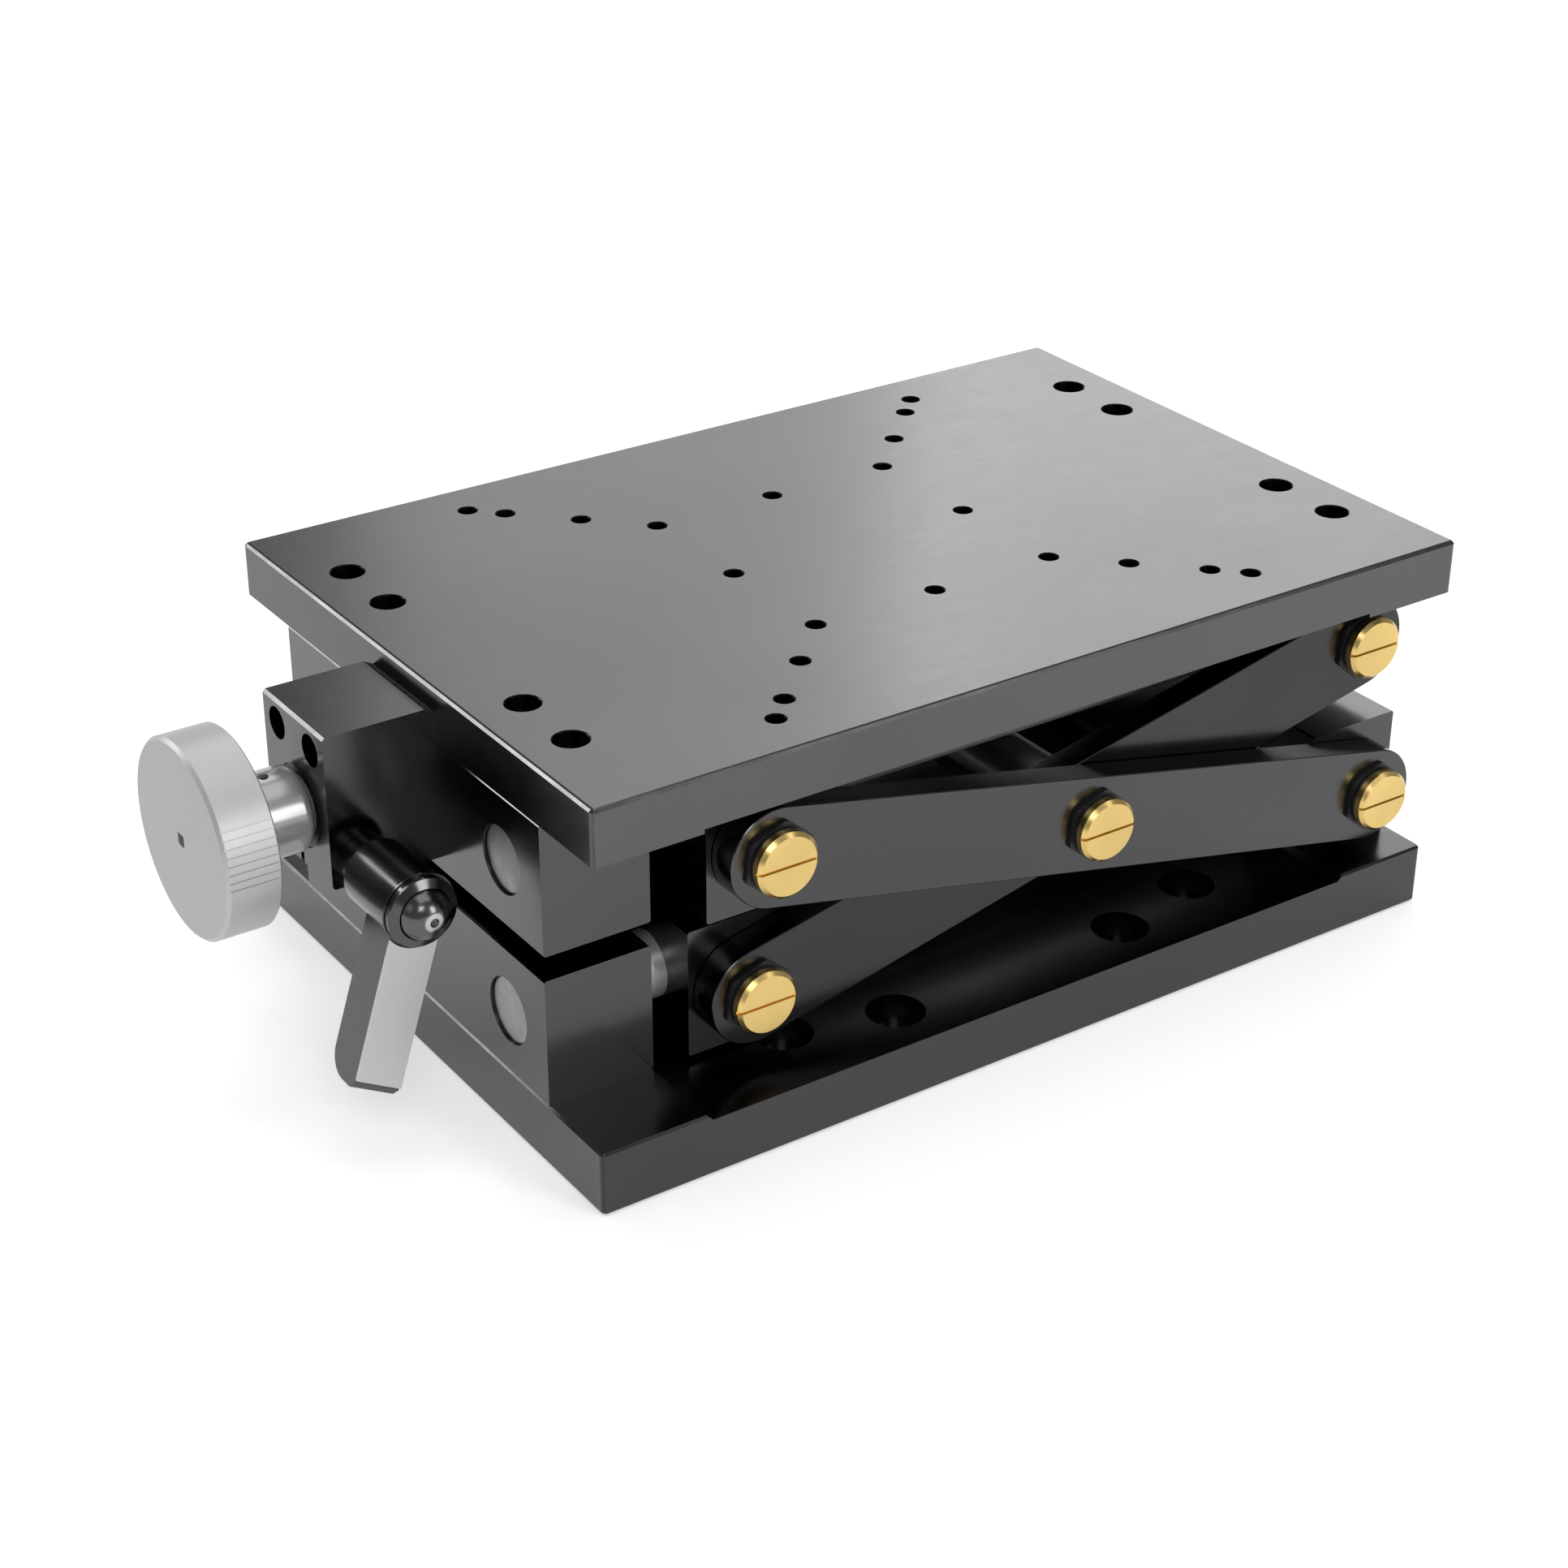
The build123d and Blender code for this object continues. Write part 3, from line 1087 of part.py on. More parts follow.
with BuildPart() as clamp_cap:
    with BuildSketch(Plane.XY.offset(lever_z)):
        with BuildLine():
            Polyline(
                (lever_x, -27.9),
                (lever_x + 4.4, -27.9),
                (lever_x + 4.4, -31.6),
            )
            ThreePointArc(
                (lever_x + 4.4, -31.6),
                (lever_x + 4.4 * math.sin(math.radians(45)), -31.6 - 3.3 * math.sin(math.radians(45))),
                (lever_x, -34.9),
            )
            Line((lever_x, -34.9), (lever_x, -27.9))
        make_face()
    revolve(axis=Axis((lever_x, 0, lever_z), (0, 1, 0)))
    with BuildSketch(Plane.XZ.offset(33.0)):
        with Locations((lever_x, lever_z)):
            Circle(0.8)
    extrude(amount=3.0, mode=Mode.SUBTRACT)
clamp_cap.part.label = "clamp_cap"
export_step(clamp_cap.part, "parts/clamp_cap.step")

print("arm length", round(arm_len, 4), "tilt", round(arm_tilt, 4))
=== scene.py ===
import math

import bmesh
import bpy
from mathutils import Matrix, Vector


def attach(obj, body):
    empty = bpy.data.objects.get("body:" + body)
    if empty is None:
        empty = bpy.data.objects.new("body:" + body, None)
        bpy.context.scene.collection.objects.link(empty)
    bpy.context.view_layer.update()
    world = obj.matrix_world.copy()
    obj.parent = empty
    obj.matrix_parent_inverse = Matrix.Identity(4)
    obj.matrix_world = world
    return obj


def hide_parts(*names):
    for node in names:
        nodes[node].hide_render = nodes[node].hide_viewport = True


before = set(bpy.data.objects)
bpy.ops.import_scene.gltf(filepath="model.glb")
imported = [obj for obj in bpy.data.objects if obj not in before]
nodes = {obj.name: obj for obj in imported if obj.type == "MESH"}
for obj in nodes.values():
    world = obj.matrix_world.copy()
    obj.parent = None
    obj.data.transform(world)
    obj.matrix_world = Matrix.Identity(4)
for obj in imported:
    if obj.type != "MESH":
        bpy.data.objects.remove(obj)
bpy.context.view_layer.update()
scene = bpy.context.scene
MM = 0.001

# Studio: glow of the white floor, sky level, and the soft boxes' watts.
FLOOR_GLOW = 0.40
WORLD = 0.32
POWERS = {
    "back_right_1": 0.45,
    "back_right_2": 1.5,
    "back_right_3": 0.80,
    "back_high": 1.6,
    "back_low": 0.53,
    "edge_left": 2.6,
    "left": 0.5,
    "front_left": 2.5,
    "front_right": 3.8,
    "front_high": 0.6,
    "overhead": 4.9,
}


# ------------------------------------------------------------------ node helpers
class Mat:
    """A node material with small helpers. Patterns run on the object's own coordinates."""

    def __init__(self, name):
        self.m = bpy.data.materials.new(name)
        self.m.use_nodes = True
        self.nt = self.m.node_tree
        self.nt.nodes.clear()
        self.out = self.nt.nodes.new("ShaderNodeOutputMaterial")
        self.b = self.nt.nodes.new("ShaderNodeBsdfPrincipled")
        self.link(self.b.outputs["BSDF"], self.out.inputs["Surface"])
        self.tc = self.nt.nodes.new("ShaderNodeTexCoord")
        self.obj = self.tc.outputs["Object"]

    def link(self, a, b):
        self.nt.links.new(a, b)

    def put(self, socket, value):
        if isinstance(value, bpy.types.NodeSocket):
            self.link(value, socket)
        else:
            socket.default_value = value

    def set(self, **kw):
        for k, v in kw.items():
            self.put(self.b.inputs[k.replace("_", " ")], v)

    def math(self, op, a, b=0.0, c=0.0, clamp=False):
        n = self.nt.nodes.new("ShaderNodeMath")
        n.operation = op
        n.use_clamp = clamp
        self.put(n.inputs[0], a)
        self.put(n.inputs[1], b)
        self.put(n.inputs[2], c)
        return n.outputs[0]

    def vmath(self, op, a, b=(0, 0, 0)):
        n = self.nt.nodes.new("ShaderNodeVectorMath")
        n.operation = op
        self.put(n.inputs[0], a)
        self.put(n.inputs[1], b)
        return n.outputs["Value"] if op in ("LENGTH", "DOT_PRODUCT") else n.outputs["Vector"]

    def noise(self, scale, detail=3.0, rough=0.5, stretch=(1, 1, 1), offset=(0, 0, 0), vector=None):
        mp = self.nt.nodes.new("ShaderNodeMapping")
        self.link(vector or self.obj, mp.inputs["Vector"])
        mp.inputs["Scale"].default_value = stretch
        mp.inputs["Location"].default_value = offset
        n = self.nt.nodes.new("ShaderNodeTexNoise")
        self.link(mp.outputs["Vector"], n.inputs["Vector"])
        n.inputs["Scale"].default_value = scale
        n.inputs["Detail"].default_value = detail
        n.inputs["Roughness"].default_value = rough
        return n.outputs["Fac"]

    def ramp(self, fac, lo, hi, a, b, smooth=True):
        n = self.nt.nodes.new("ShaderNodeMapRange")
        n.interpolation_type = "SMOOTHSTEP" if smooth else "LINEAR"
        n.clamp = True if not smooth else n.clamp
        self.put(n.inputs["Value"], fac)
        n.inputs["From Min"].default_value = lo
        n.inputs["From Max"].default_value = hi
        n.inputs["To Min"].default_value = a
        n.inputs["To Max"].default_value = b
        return n.outputs["Result"]

    def mix(self, fac, a, b):
        n = self.nt.nodes.new("ShaderNodeMix")
        n.data_type = "RGBA"
        self.put(n.inputs["Factor"], fac)
        self.put(n.inputs["A"], a)
        self.put(n.inputs["B"], b)
        for i in n.inputs:
            if i.type == "RGBA" and i.name == "A":
                self.put(i, a)
            if i.type == "RGBA" and i.name == "B":
                self.put(i, b)
        return [o for o in n.outputs if o.type == "RGBA"][0]

    def bump(self, height, strength, distance, normal=None):
        n = self.nt.nodes.new("ShaderNodeBump")
        n.inputs["Strength"].default_value = strength
        n.inputs["Distance"].default_value = distance
        self.put(n.inputs["Height"], height)
        if normal is not None:
            self.link(normal, n.inputs["Normal"])
        return n.outputs["Normal"]

    def axes(self, socket):
        n = self.nt.nodes.new("ShaderNodeSeparateXYZ")
        self.link(socket, n.inputs[0])
        return n.outputs[0], n.outputs[1], n.outputs[2]

    def radius(self, axis, centre):
        """Distance from an axis along X, Y or Z through centre."""
        keep = {"X": (0, 1, 1), "Y": (1, 0, 1), "Z": (1, 1, 0)}[axis]
        v = self.vmath("SUBTRACT", self.obj, tuple(centre))
        v = self.vmath("MULTIPLY", v, keep)
        return self.vmath("LENGTH", v)

    def bevels(self):
        """1 on the small 45 degree edges, 0 on the flats."""
        x, y, z = self.axes(self.tc.outputs["Normal"])
        xx = self.math("MULTIPLY", x, x)
        yy = self.math("MULTIPLY", y, y)
        zz = self.math("MULTIPLY", z, z)
        s = self.math("ADD", self.math("MULTIPLY", xx, zz), self.math("MULTIPLY", yy, zz))
        s = self.math("ADD", s, self.math("MULTIPLY", xx, yy))
        return self.ramp(s, 0.16, 0.24, 0.0, 1.0)

    def arm_bevels(self):
        x, y, z = self.axes(self.tc.outputs["Normal"])
        a = self.math("ABSOLUTE", y)
        lo = self.ramp(a, 0.35, 0.6, 0.0, 1.0)
        hi = self.ramp(a, 0.8, 0.97, 1.0, 0.0)
        return self.math("MULTIPLY", lo, hi)


def anodised(name, base=(0.094, 0.094, 0.096), rough=0.30, edge="block", grain=(1, 1, 1), seed=0.0, worn_gain=0.70, painted_under_shade=False, ends=1.0, painted_rim_shade=None):
    """Black anodised aluminium: a dark satin metal skin with a very fine grain, faint milling lines and lighter worn
    edges. Options add painted shade and light: tinted end faces, near-black hole-rim chamfers and near-black
    down-facing faces.
    """
    k = Mat(name)
    big = k.noise(14.0, 2.0, 0.5, offset=(seed, seed, seed))
    mid = k.noise(170.0, 4.0, 0.6, offset=(seed, 0, 0))
    fine = k.noise(5200.0, 2.0, 0.6)
    lines = k.noise(90.0, 3.0, 0.7, stretch=grain, offset=(seed, 0, seed))
    dark = tuple(c * 0.95 for c in base) + (1,)
    light = tuple(c * 1.05 for c in base) + (1,)
    col = k.mix(k.ramp(big, 0.35, 0.65, 0.0, 1.0), dark, light)
    # painted shade and light: faces square to X get their own tint (darker on the table and drive block, lighter on the
    # base) to stand in for how light falls on them
    if ends != 1.0:
        across = k.ramp(k.math("ABSOLUTE", k.axes(k.tc.outputs["Normal"])[0]), 0.90, 0.98, 0.0, 1.0)
        painted_end_shading = k.mix(k.ramp(mid, 0.35, 0.65, 0.0, 1.0), tuple(c * ends * 0.96 for c in base) + (1,), tuple(c * ends * 1.04 for c in base) + (1,))
        col = k.mix(across, col, painted_end_shading)
    e = k.bevels() if edge == "block" else k.arm_bevels()
    worn = k.math("MULTIPLY", e, k.ramp(mid, 0.30, 0.62, 0.25, 0.9))
    col = k.mix(worn, col, tuple(c * worn_gain for c in base) + (1,))
    # painted shade: chamfers of holes and pockets away from the outer edges are painted near-black, hiding their glints
    if painted_rim_shade:
        x, y, z = k.axes(k.obj)
        rim_shade_mask = k.ramp(k.math("ABSOLUTE", x), (painted_rim_shade[0] - 0.2) * MM, (painted_rim_shade[0] + 0.2) * MM, 1.0, 0.0)
        rim_shade_mask = k.math("MULTIPLY", rim_shade_mask, k.ramp(k.math("ABSOLUTE", y), (painted_rim_shade[1] - 0.2) * MM, (painted_rim_shade[1] + 0.2) * MM, 1.0, 0.0))
        col = k.mix(k.math("MULTIPLY", e, rim_shade_mask), col, tuple(c * 0.08 for c in base) + (1,))
    # painted shade: down-facing faces turn near-black and less metallic to stand in for the shade under the part
    if painted_under_shade:
        x, y, z = k.axes(k.tc.outputs["Normal"])
        under_shade_mask = k.math("MULTIPLY", k.ramp(z, -0.5, -0.25, 1.0, 0.0), k.ramp(mid, 0.2, 0.5, 0.85, 1.0))
        col = k.mix(under_shade_mask, col, (0.012, 0.012, 0.013, 1))
        k.set(Metallic=k.math("SUBTRACT", 1.0, under_shade_mask), Specular_IOR_Level=k.ramp(under_shade_mask, 0.0, 1.0, 0.5, 0.1))
    k.set(Base_Color=col)
    r = k.math("ADD", k.ramp(mid, 0.3, 0.7, rough - 0.012, rough + 0.012), k.ramp(lines, 0.35, 0.65, -0.012, 0.012))
    k.set(Roughness=r)
    if not painted_under_shade:
        k.b.inputs["Metallic"].default_value = 1.0
    h = k.math("ADD", k.math("MULTIPLY", fine, 0.6), k.math("MULTIPLY", lines, 0.4))
    k.set(Normal=k.bump(h, 0.05, 0.00001))
    return k.m


def ground_steel(name, base=(0.62, 0.62, 0.63), end=(0.315, 0.315, 0.319), rough=0.32):
    """Ground and hardened rod: fine grinding marks round the rod, faint stains, duller sawn and faced ends."""
    k = Mat(name)
    rings = k.noise(300.0, 3.0, 0.7, stretch=(14, 1, 1))
    stain = k.noise(35.0, 3.0, 0.5)
    face = k.noise(420.0, 4.0, 0.65)
    x, y, z = k.axes(k.tc.outputs["Normal"])
    flat = k.ramp(k.math("ABSOLUTE", x), 0.8, 0.95, 0.0, 1.0)
    col = k.mix(k.ramp(stain, 0.35, 0.7, 0.0, 1.0), tuple(c * 1.04 for c in base) + (1,), tuple(c * 0.93 for c in base) + (1,))
    ends = k.mix(k.ramp(face, 0.35, 0.68, 0.0, 1.0), tuple(c * 0.95 for c in end) + (1,), tuple(c * 1.05 for c in end) + (1,))
    k.set(Base_Color=k.mix(flat, col, ends))
    r = k.math("ADD", k.ramp(rings, 0.3, 0.7, rough - 0.04, rough + 0.05), k.math("MULTIPLY", flat, 0.12))
    k.set(Roughness=r, Normal=k.bump(k.math("ADD", rings, k.math("MULTIPLY", face, 0.5)), 0.04, 0.00001))
    k.set(Metallic=k.ramp(k.math("ABSOLUTE", x), 0.8, 0.95, 0.5, 1.0))
    return k.m


def turned(name, base, rough, axis, centre, pitch=0.22, metallic=1.0, depth=0.00001, strength=0.25, tint=0.85, ior=1.5, spot=None, face=1.0, painted_under_shade=False):
    """Turned metal: rings of tool marks about its own axis, with slow colour and roughness changes. An option paints
    shade on down-facing faces.
    """
    k = Mat(name)
    r = k.radius(axis, centre)
    wob = k.noise(500.0, 2.0, 0.5)
    ph = k.math("ADD", k.math("MULTIPLY", r, 2 * math.pi / (pitch * MM)), k.math("MULTIPLY", wob, 2.5))
    rings = k.math("SINE", ph)
    big = k.noise(60.0, 3.0, 0.55)
    col = k.mix(k.ramp(big, 0.3, 0.7, 0.0, 1.0), tuple(c * tint for c in base) + (1,), tuple(base) + (1,))
    if face != 1.0:
        along = k.axes(k.tc.outputs["Normal"])["XYZ".index(axis)]
        flat = k.ramp(k.math("ABSOLUTE", along), 0.80, 0.97, 0.0, 1.0)
        col = k.mix(flat, col, k.mix(k.ramp(big, 0.3, 0.7, 0.0, 1.0), tuple(c * face * tint for c in base) + (1,), tuple(c * face for c in base) + (1,)))
    # painted shade: down-facing faces turn near-black and less metallic to stand in for the shade under the part
    if painted_under_shade:
        under_shade_mask = k.math("MULTIPLY", k.ramp(k.axes(k.tc.outputs["Normal"])[2], -0.5, -0.25, 1.0, 0.0), k.ramp(big, 0.3, 0.7, 0.9, 1.0))
        col = k.mix(under_shade_mask, col, (0.02, 0.02, 0.021, 1))
        k.set(Metallic=k.math("MULTIPLY", k.math("SUBTRACT", 1.0, under_shade_mask), metallic), Specular_IOR_Level=k.ramp(under_shade_mask, 0.0, 1.0, 0.5, 0.1))
    if spot:
        col = k.mix(k.ramp(r, (spot[0] - 0.25) * MM, (spot[0] + 0.25) * MM, 1.0, 0.0), col, tuple(spot[1]) + (1,))
    k.set(Base_Color=col)
    k.set(Roughness=k.math("ADD", k.ramp(big, 0.3, 0.7, rough - 0.03, rough + 0.03), k.math("MULTIPLY", rings, 0.012)))
    k.set(Normal=k.bump(k.math("ADD", rings, k.math("MULTIPLY", k.noise(4000.0, 2.0, 0.6), 0.6)), strength, depth))
    if not painted_under_shade:
        k.b.inputs["Metallic"].default_value = metallic
    k.b.inputs["IOR"].default_value = ior
    return k.m


def black_plastic(name, base=(0.012, 0.012, 0.013), rough=0.45, coat=0.0):
    k = Mat(name)
    fine = k.noise(3500.0, 3.0, 0.6)
    big = k.noise(120.0, 3.0, 0.5)
    col = k.mix(k.ramp(big, 0.35, 0.65, 0.0, 1.0), tuple(c * 0.8 for c in base) + (1,), tuple(c * 1.4 for c in base) + (1,))
    k.set(Base_Color=col, Roughness=k.ramp(big, 0.3, 0.7, rough - 0.04, rough + 0.05), Normal=k.bump(fine, 0.15, 0.00003))
    k.b.inputs["Coat Weight"].default_value = coat
    k.b.inputs["Coat Roughness"].default_value = 0.08
    return k.m


def dress(node, material):
    o = nodes[node]
    o.data.materials.clear()
    o.data.materials.append(material)


# ------------------------------------------------------------------ materials
SCREW_Z = 54.5 * MM
# table: end faces tinted darker and hole-rim chamfers painted near-black, both as painted shade
plate_mat = anodised("anodised_table", base=(0.099, 0.099, 0.101), rough=0.24, grain=(0.6, 26, 26), seed=0.3, ends=0.66, painted_rim_shade=(87.5, 57.5))
# base plate: darker anodise than the other parts as painted shade for its contact shade, with end faces tinted lighter
# as painted light
base_mat = anodised("anodised_base", base=(0.067, 0.067, 0.069), rough=0.21, grain=(0.6, 26, 26), seed=1.7, ends=1.12)
block_mat = anodised("anodised_blocks", base=(0.088, 0.088, 0.090), rough=0.19, grain=(26, 0.6, 26), seed=2.9)
arm_mat = anodised("anodised_arms", base=(0.080, 0.080, 0.082), rough=0.20, edge="arm", grain=(0.6, 26, 20), seed=4.1, worn_gain=1.1)
# drive block: end faces tinted darker as painted shade
drive_mat = anodised("anodised_drive", base=(0.076, 0.076, 0.078), rough=0.19, grain=(26, 26, 0.6), seed=5.3, ends=0.80)
# inner arms: darker anodise than the outer arms as painted shade, standing in for the shade between the arm layers
inner_arm_mat = anodised("anodised_inner_arms", base=(0.052, 0.052, 0.054), rough=0.20, edge="arm", grain=(0.6, 26, 20), seed=8.3, worn_gain=1.1)
tube_mat = anodised("anodised_tube", base=(0.24, 0.24, 0.245), rough=0.34, grain=(26, 0.6, 26), seed=6.1)
rod_mat = ground_steel("ground_rods")
bronze_mat = turned("sintered_bronze", (0.36, 0.25, 0.14), 0.45, "X", (0, 0, SCREW_Z), pitch=0.5)
bush_mat = black_plastic("bush_polymer", base=(0.006, 0.006, 0.0065), rough=0.42)
seal_mat = black_plastic("seal_polymer", rough=0.4)
oxide_mat = turned("black_oxide", (0.05, 0.05, 0.052), 0.36, "X", (0, 0, SCREW_Z), pitch=0.3)
knob_mat = turned("knob_satin", (0.45, 0.45, 0.455), 0.48, "X", (0, 0, SCREW_Z), pitch=0.18, tint=0.96, metallic=0.8, face=0.84)
collar_mat = turned("collar_polished", (0.24, 0.24, 0.242), 0.20, "X", (0, 0, SCREW_Z), pitch=0.3, strength=0.06, metallic=0.0, ior=2.35, tint=0.95)
LEVER_AXIS = (-104.4 * MM, 0, 47.5 * MM)
hub_mat = turned("hub_black_chrome", (0.082, 0.082, 0.084), 0.22, "Y", LEVER_AXIS, pitch=0.4, strength=0.08)
ring_mat = turned("ring_black_chrome", (0.09, 0.09, 0.093), 0.17, "Y", LEVER_AXIS, pitch=0.3, strength=0.08)
cap_mat = turned("cap_black_chrome", (0.115, 0.115, 0.117), 0.22, "Y", LEVER_AXIS, pitch=0.3, strength=0.08, spot=(1.6, (0.42, 0.42, 0.425)))
# lever body with painted shade on its down-facing faces
lever_mat = anodised("lever_body", base=(0.080, 0.080, 0.082), rough=0.22, grain=(26, 26, 0.6), seed=7.7, worn_gain=1.0, painted_under_shade=True)
# lever face with painted shade on its down-facing faces
lever_face_mat = turned("lever_face", (0.50, 0.50, 0.505), 0.40, "Y", LEVER_AXIS, pitch=0.3, tint=0.95, painted_under_shade=True)
stud_mat = turned("clamp_steel", (0.05, 0.05, 0.052), 0.22, "Y", LEVER_AXIS, pitch=0.3)

for n in ("top_plate",):
    dress(n, plate_mat)
dress("base_plate", base_mat)
for n in ("lower_left_block", "lower_right_block", "upper_left_block", "upper_right_block", "upper_carriage_block", "lower_carriage_block"):
    dress(n, block_mat)
dress("drive_block", drive_mat)
for n in ("outer_arm_front", "outer_arm_rear"):
    dress(n, arm_mat)
for n in ("inner_arm_front", "inner_arm_rear"):
    dress(n, inner_arm_mat)
dress("centre_tube", tube_mat)
for n in ("lower_guide_rod_front", "lower_guide_rod_rear", "upper_guide_rod_front", "upper_guide_rod_rear", "centre_shaft"):
    dress(n, rod_mat)
for n in ("upper_carriage_bushes", "lower_carriage_bushes"):
    dress(n, bronze_mat)
for n in ("outer_arm_bushes", "inner_arm_bushes", "centre_rings"):
    dress(n, bush_mat)
for n in ("drive_bearing", "screw_bearing"):
    dress(n, seal_mat)
for n in ("base_plate_screws", "lower_rod_set_screws", "top_plate_screws", "upper_rod_set_screws", "drive_block_screws", "collar_set_screw", "lead_nut_screws", "screw_lock_ring"):
    dress(n, oxide_mat)
dress("knob", knob_mat)
dress("drive_collar", collar_mat)
dress("clamp_hub", hub_mat)
dress("clamp_ring", ring_mat)
dress("clamp_cap", cap_mat)
dress("lever_arm", lever_mat)
dress("lever_face", lever_face_mat)
for n in ("clamp_stud", "clamp_neck"):
    dress(n, stud_mat)

BRASS = (0.76, 0.545, 0.20)
for n, (cx, cz) in {
    "base_pivot_screws": (80.5, 23.5),
    "table_pivot_screws": (80.5, 52.5),
    "upper_carriage_pivot_screws": (-53.0, 52.5),
    "lower_carriage_pivot_screws": (-53.0, 23.5),
    "centre_screws": (13.75, 38.0),
}.items():
    dress(n, turned("brass_" + n, BRASS, 0.26, "Y", (cx * MM, 0, cz * MM), pitch=0.2, strength=0.2))
for n, (cx, cz) in {
    "base_pivot_sleeves": (80.5, 23.5),
    "table_pivot_sleeves": (80.5, 52.5),
    "upper_carriage_pivot_sleeves": (-53.0, 52.5),
    "lower_carriage_pivot_sleeves": (-53.0, 23.5),
    "centre_washers": (13.75, 38.0),
}.items():
    dress(n, turned("steel_" + n, (0.12, 0.12, 0.125), 0.30, "Y", (cx * MM, 0, cz * MM), pitch=0.25))
dress("lead_nut", turned("brass_nut", (0.72, 0.54, 0.25), 0.3, "X", (0, 0, SCREW_Z), pitch=0.3))

# ------------------------------------------------------------------ lead screw thread
def lead_screw_mesh():
    """Right-hand trapezoidal thread, 8 mm over its crests, 2 mm pitch, with a plain journal at the knob's end."""
    pitch, crest, root, around = 2.0, 4.0, 2.75, 48
    x0, x1 = -65.0, -8.6
    steps = ((0.0, root), (0.25 * pitch, crest), (0.62 * pitch, crest), (0.87 * pitch, root))
    turns = int(math.ceil((x1 - x0) / pitch)) + 4
    rows = 4 * turns
    bm = bmesh.new()
    grid = []
    for i in range(rows + 5):
        row = []
        for j in range(around):
            a = 2 * math.pi * j / around
            x = x0 + pitch * (i // 4 - 2) + steps[i % 4][0] + pitch * j / around
            r = steps[i % 4][1]
            if x <= x0:
                x, r = x0, root
            if x >= x1:
                x, r = x1, root
            row.append(bm.verts.new((x * MM, r * math.cos(a) * MM, 54.5 * MM + r * math.sin(a) * MM)))
        grid.append(row)
    for i in range(rows):
        for j in range(around):
            if j < around - 1:
                bm.faces.new((grid[i][j], grid[i + 1][j], grid[i + 1][j + 1], grid[i][j + 1]))
            else:
                bm.faces.new((grid[i][j], grid[i + 1][j], grid[i + 5][0], grid[i + 4][0]))
    bmesh.ops.remove_doubles(bm, verts=bm.verts[:], dist=1e-7)
    bmesh.ops.delete(bm, geom=[v for v in bm.verts if not v.link_faces], context="VERTS")

    def ring(x, r):
        return [bm.verts.new((x * MM, r * math.cos(2 * math.pi * j / around) * MM, 54.5 * MM + r * math.sin(2 * math.pi * j / around) * MM)) for j in range(around)]

    def end_ring(x):
        found = [v for v in bm.verts if abs(v.co.x - x * MM) < 1e-8 and any(e.is_boundary for e in v.link_edges)]
        found.sort(key=lambda v: math.atan2(v.co.z - 54.5 * MM, v.co.y) % (2 * math.pi))
        return found

    def join(a, b):
        for j in range(around):
            bm.faces.new((a[j], b[j], b[(j + 1) % around], a[(j + 1) % around]))

    first, last = end_ring(x0), end_ring(x1)
    rings = [ring(-126.0, 3.4), ring(-125.4, 4.0), ring(-66.2, 4.0), ring(-65.3, 2.75), first]
    for a, b in zip(rings, rings[1:]):
        join(a, b)
    bm.faces.new(list(reversed(rings[0])))
    tail = [last, ring(-8.3, 2.75), ring(-8.0, 2.4)]
    for a, b in zip(tail, tail[1:]):
        join(a, b)
    bm.faces.new(tail[-1])
    bmesh.ops.recalc_face_normals(bm, faces=bm.faces[:])
    me = bpy.data.meshes.new("lead_screw_thread")
    bm.to_mesh(me)
    bm.free()
    return me


screw_mesh = lead_screw_mesh()
screw_mesh.materials.append(rod_mat)
screw = bpy.data.objects.new("lead_screw_thread", screw_mesh)
scene.collection.objects.link(screw)
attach(screw, "hand_drive")
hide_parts("lead_screw")

# ------------------------------------------------------------------ floor and light
floor_mesh = bpy.data.meshes.new("floor")
s = 4.0
floor_mesh.from_pydata([(-s, -s, 0), (s, -s, 0), (s, s, 0), (-s, s, 0)], [], [(0, 1, 2, 3)])
floor = bpy.data.objects.new("floor", floor_mesh)
scene.collection.objects.link(floor)
floor.location.z = -0.0001
k = Mat("floor_pale")
k.set(Base_Color=k.mix(k.noise(3.0, 2.0, 0.5), (0.79, 0.79, 0.79, 1), (0.81, 0.81, 0.81, 1)))
k.b.inputs["Roughness"].default_value = 0.9
k.b.inputs["Specular IOR Level"].default_value = 0.2
k.b.inputs["Emission Color"].default_value = (1, 1, 1, 1)
k.b.inputs["Emission Strength"].default_value = FLOOR_GLOW
floor_mesh.materials.append(k.m)


def area(name, centre, target, size, power, size_y=None, spread=180.0, color=(1, 1, 1)):
    li = bpy.data.lights.new(name, "AREA")
    li.energy = power
    li.color = color
    li.shape = "RECTANGLE"
    li.size = size
    li.size_y = size_y or size
    li.spread = math.radians(spread)
    o = bpy.data.objects.new(name, li)
    scene.collection.objects.link(o)
    o.location = centre
    d = Vector(target) - Vector(centre)
    o.rotation_euler = d.to_track_quat("-Z", "Y").to_euler()
    return o


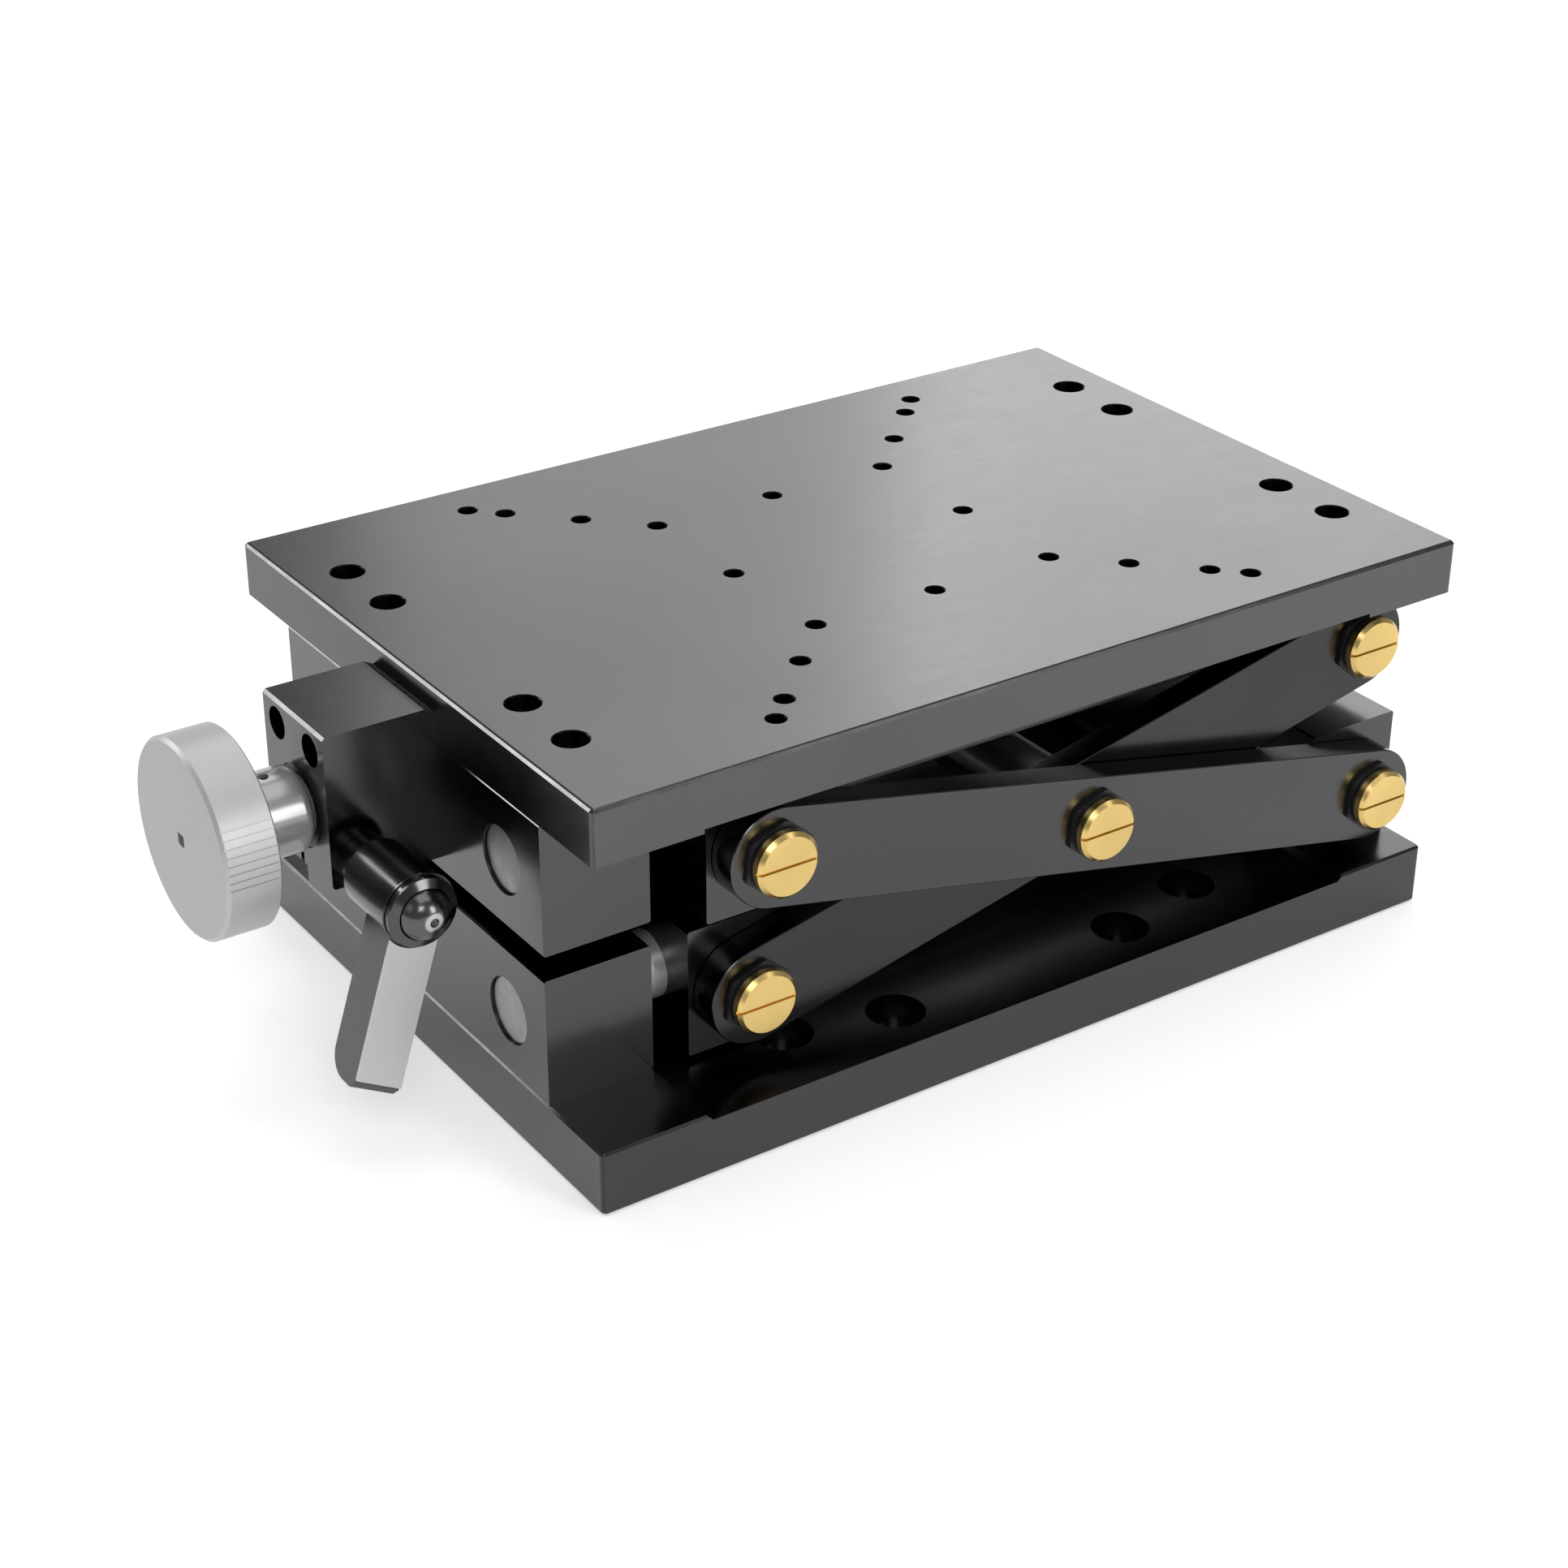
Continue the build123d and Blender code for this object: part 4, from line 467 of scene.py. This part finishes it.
world = bpy.data.worlds.new("studio")
scene.world = world
world.use_nodes = True
world.node_tree.nodes["Background"].inputs[0].default_value = (1, 1, 1, 1)
world.node_tree.nodes["Background"].inputs[1].default_value = WORLD

def toward(azimuth, elevation, distance, target=(0, 0, 0.05)):
    """A point that far from the target; azimuth is from +X towards +Y."""
    a, e = math.radians(azimuth), math.radians(elevation)
    return (
        target[0] + distance * math.cos(e) * math.cos(a),
        target[1] + distance * math.cos(e) * math.sin(a),
        target[2] + distance * math.sin(e),
    )


AIM = (0, 0, 0.05)
area("back_right_1", toward(28, 26, 1.2), AIM, 0.34, POWERS["back_right_1"], 0.60)
area("back_right_2", toward(44, 26, 1.2), AIM, 0.34, POWERS["back_right_2"], 0.60)
area("back_right_3", toward(60, 26, 1.2), AIM, 0.34, POWERS["back_right_3"], 0.60)
area("back_high", toward(58, 50, 1.2), AIM, 0.50, POWERS["back_high"], 0.40)
area("back_low", toward(75, 8, 1.2), AIM, 0.50, POWERS["back_low"], 0.14)
area("edge_left", (-0.530, 0.731, 0.480), (-0.09, 0, 0.06), 0.30, POWERS["edge_left"], 0.32)
area("left", toward(180, 30, 1.2), AIM, 0.60, POWERS["left"], 0.50)
area("front_left", toward(-121, 38, 1.2), AIM, 0.40, POWERS["front_left"], 0.40)
area("front_right", toward(-72, 20, 1.11), AIM, 0.32, POWERS["front_right"], 0.54)
area("front_high", toward(-44, 46, 1.2), AIM, 0.30, POWERS["front_high"], 0.30)
area("overhead", (0.0, -0.1, 1.3), AIM, 1.0, POWERS["overhead"], 1.0)

scene.view_settings.view_transform = "Standard"
scene.view_settings.look = "None"

# ------------------------------------------------------------------ camera
cam = bpy.data.cameras.new("camera")
cam.sensor_width = 36.0
cam.sensor_fit = "HORIZONTAL"
cam.lens = 69.984
cam.clip_start = 0.01
cam.clip_end = 50.0
cam_o = bpy.data.objects.new("camera", cam)
scene.collection.objects.link(cam_o)
cam_o.location = (-0.29102, -0.40485, 0.29418)
cam_o.rotation_euler = (math.radians(61.6518), math.radians(-0.1961), math.radians(-34.2527))
scene.camera = cam_o
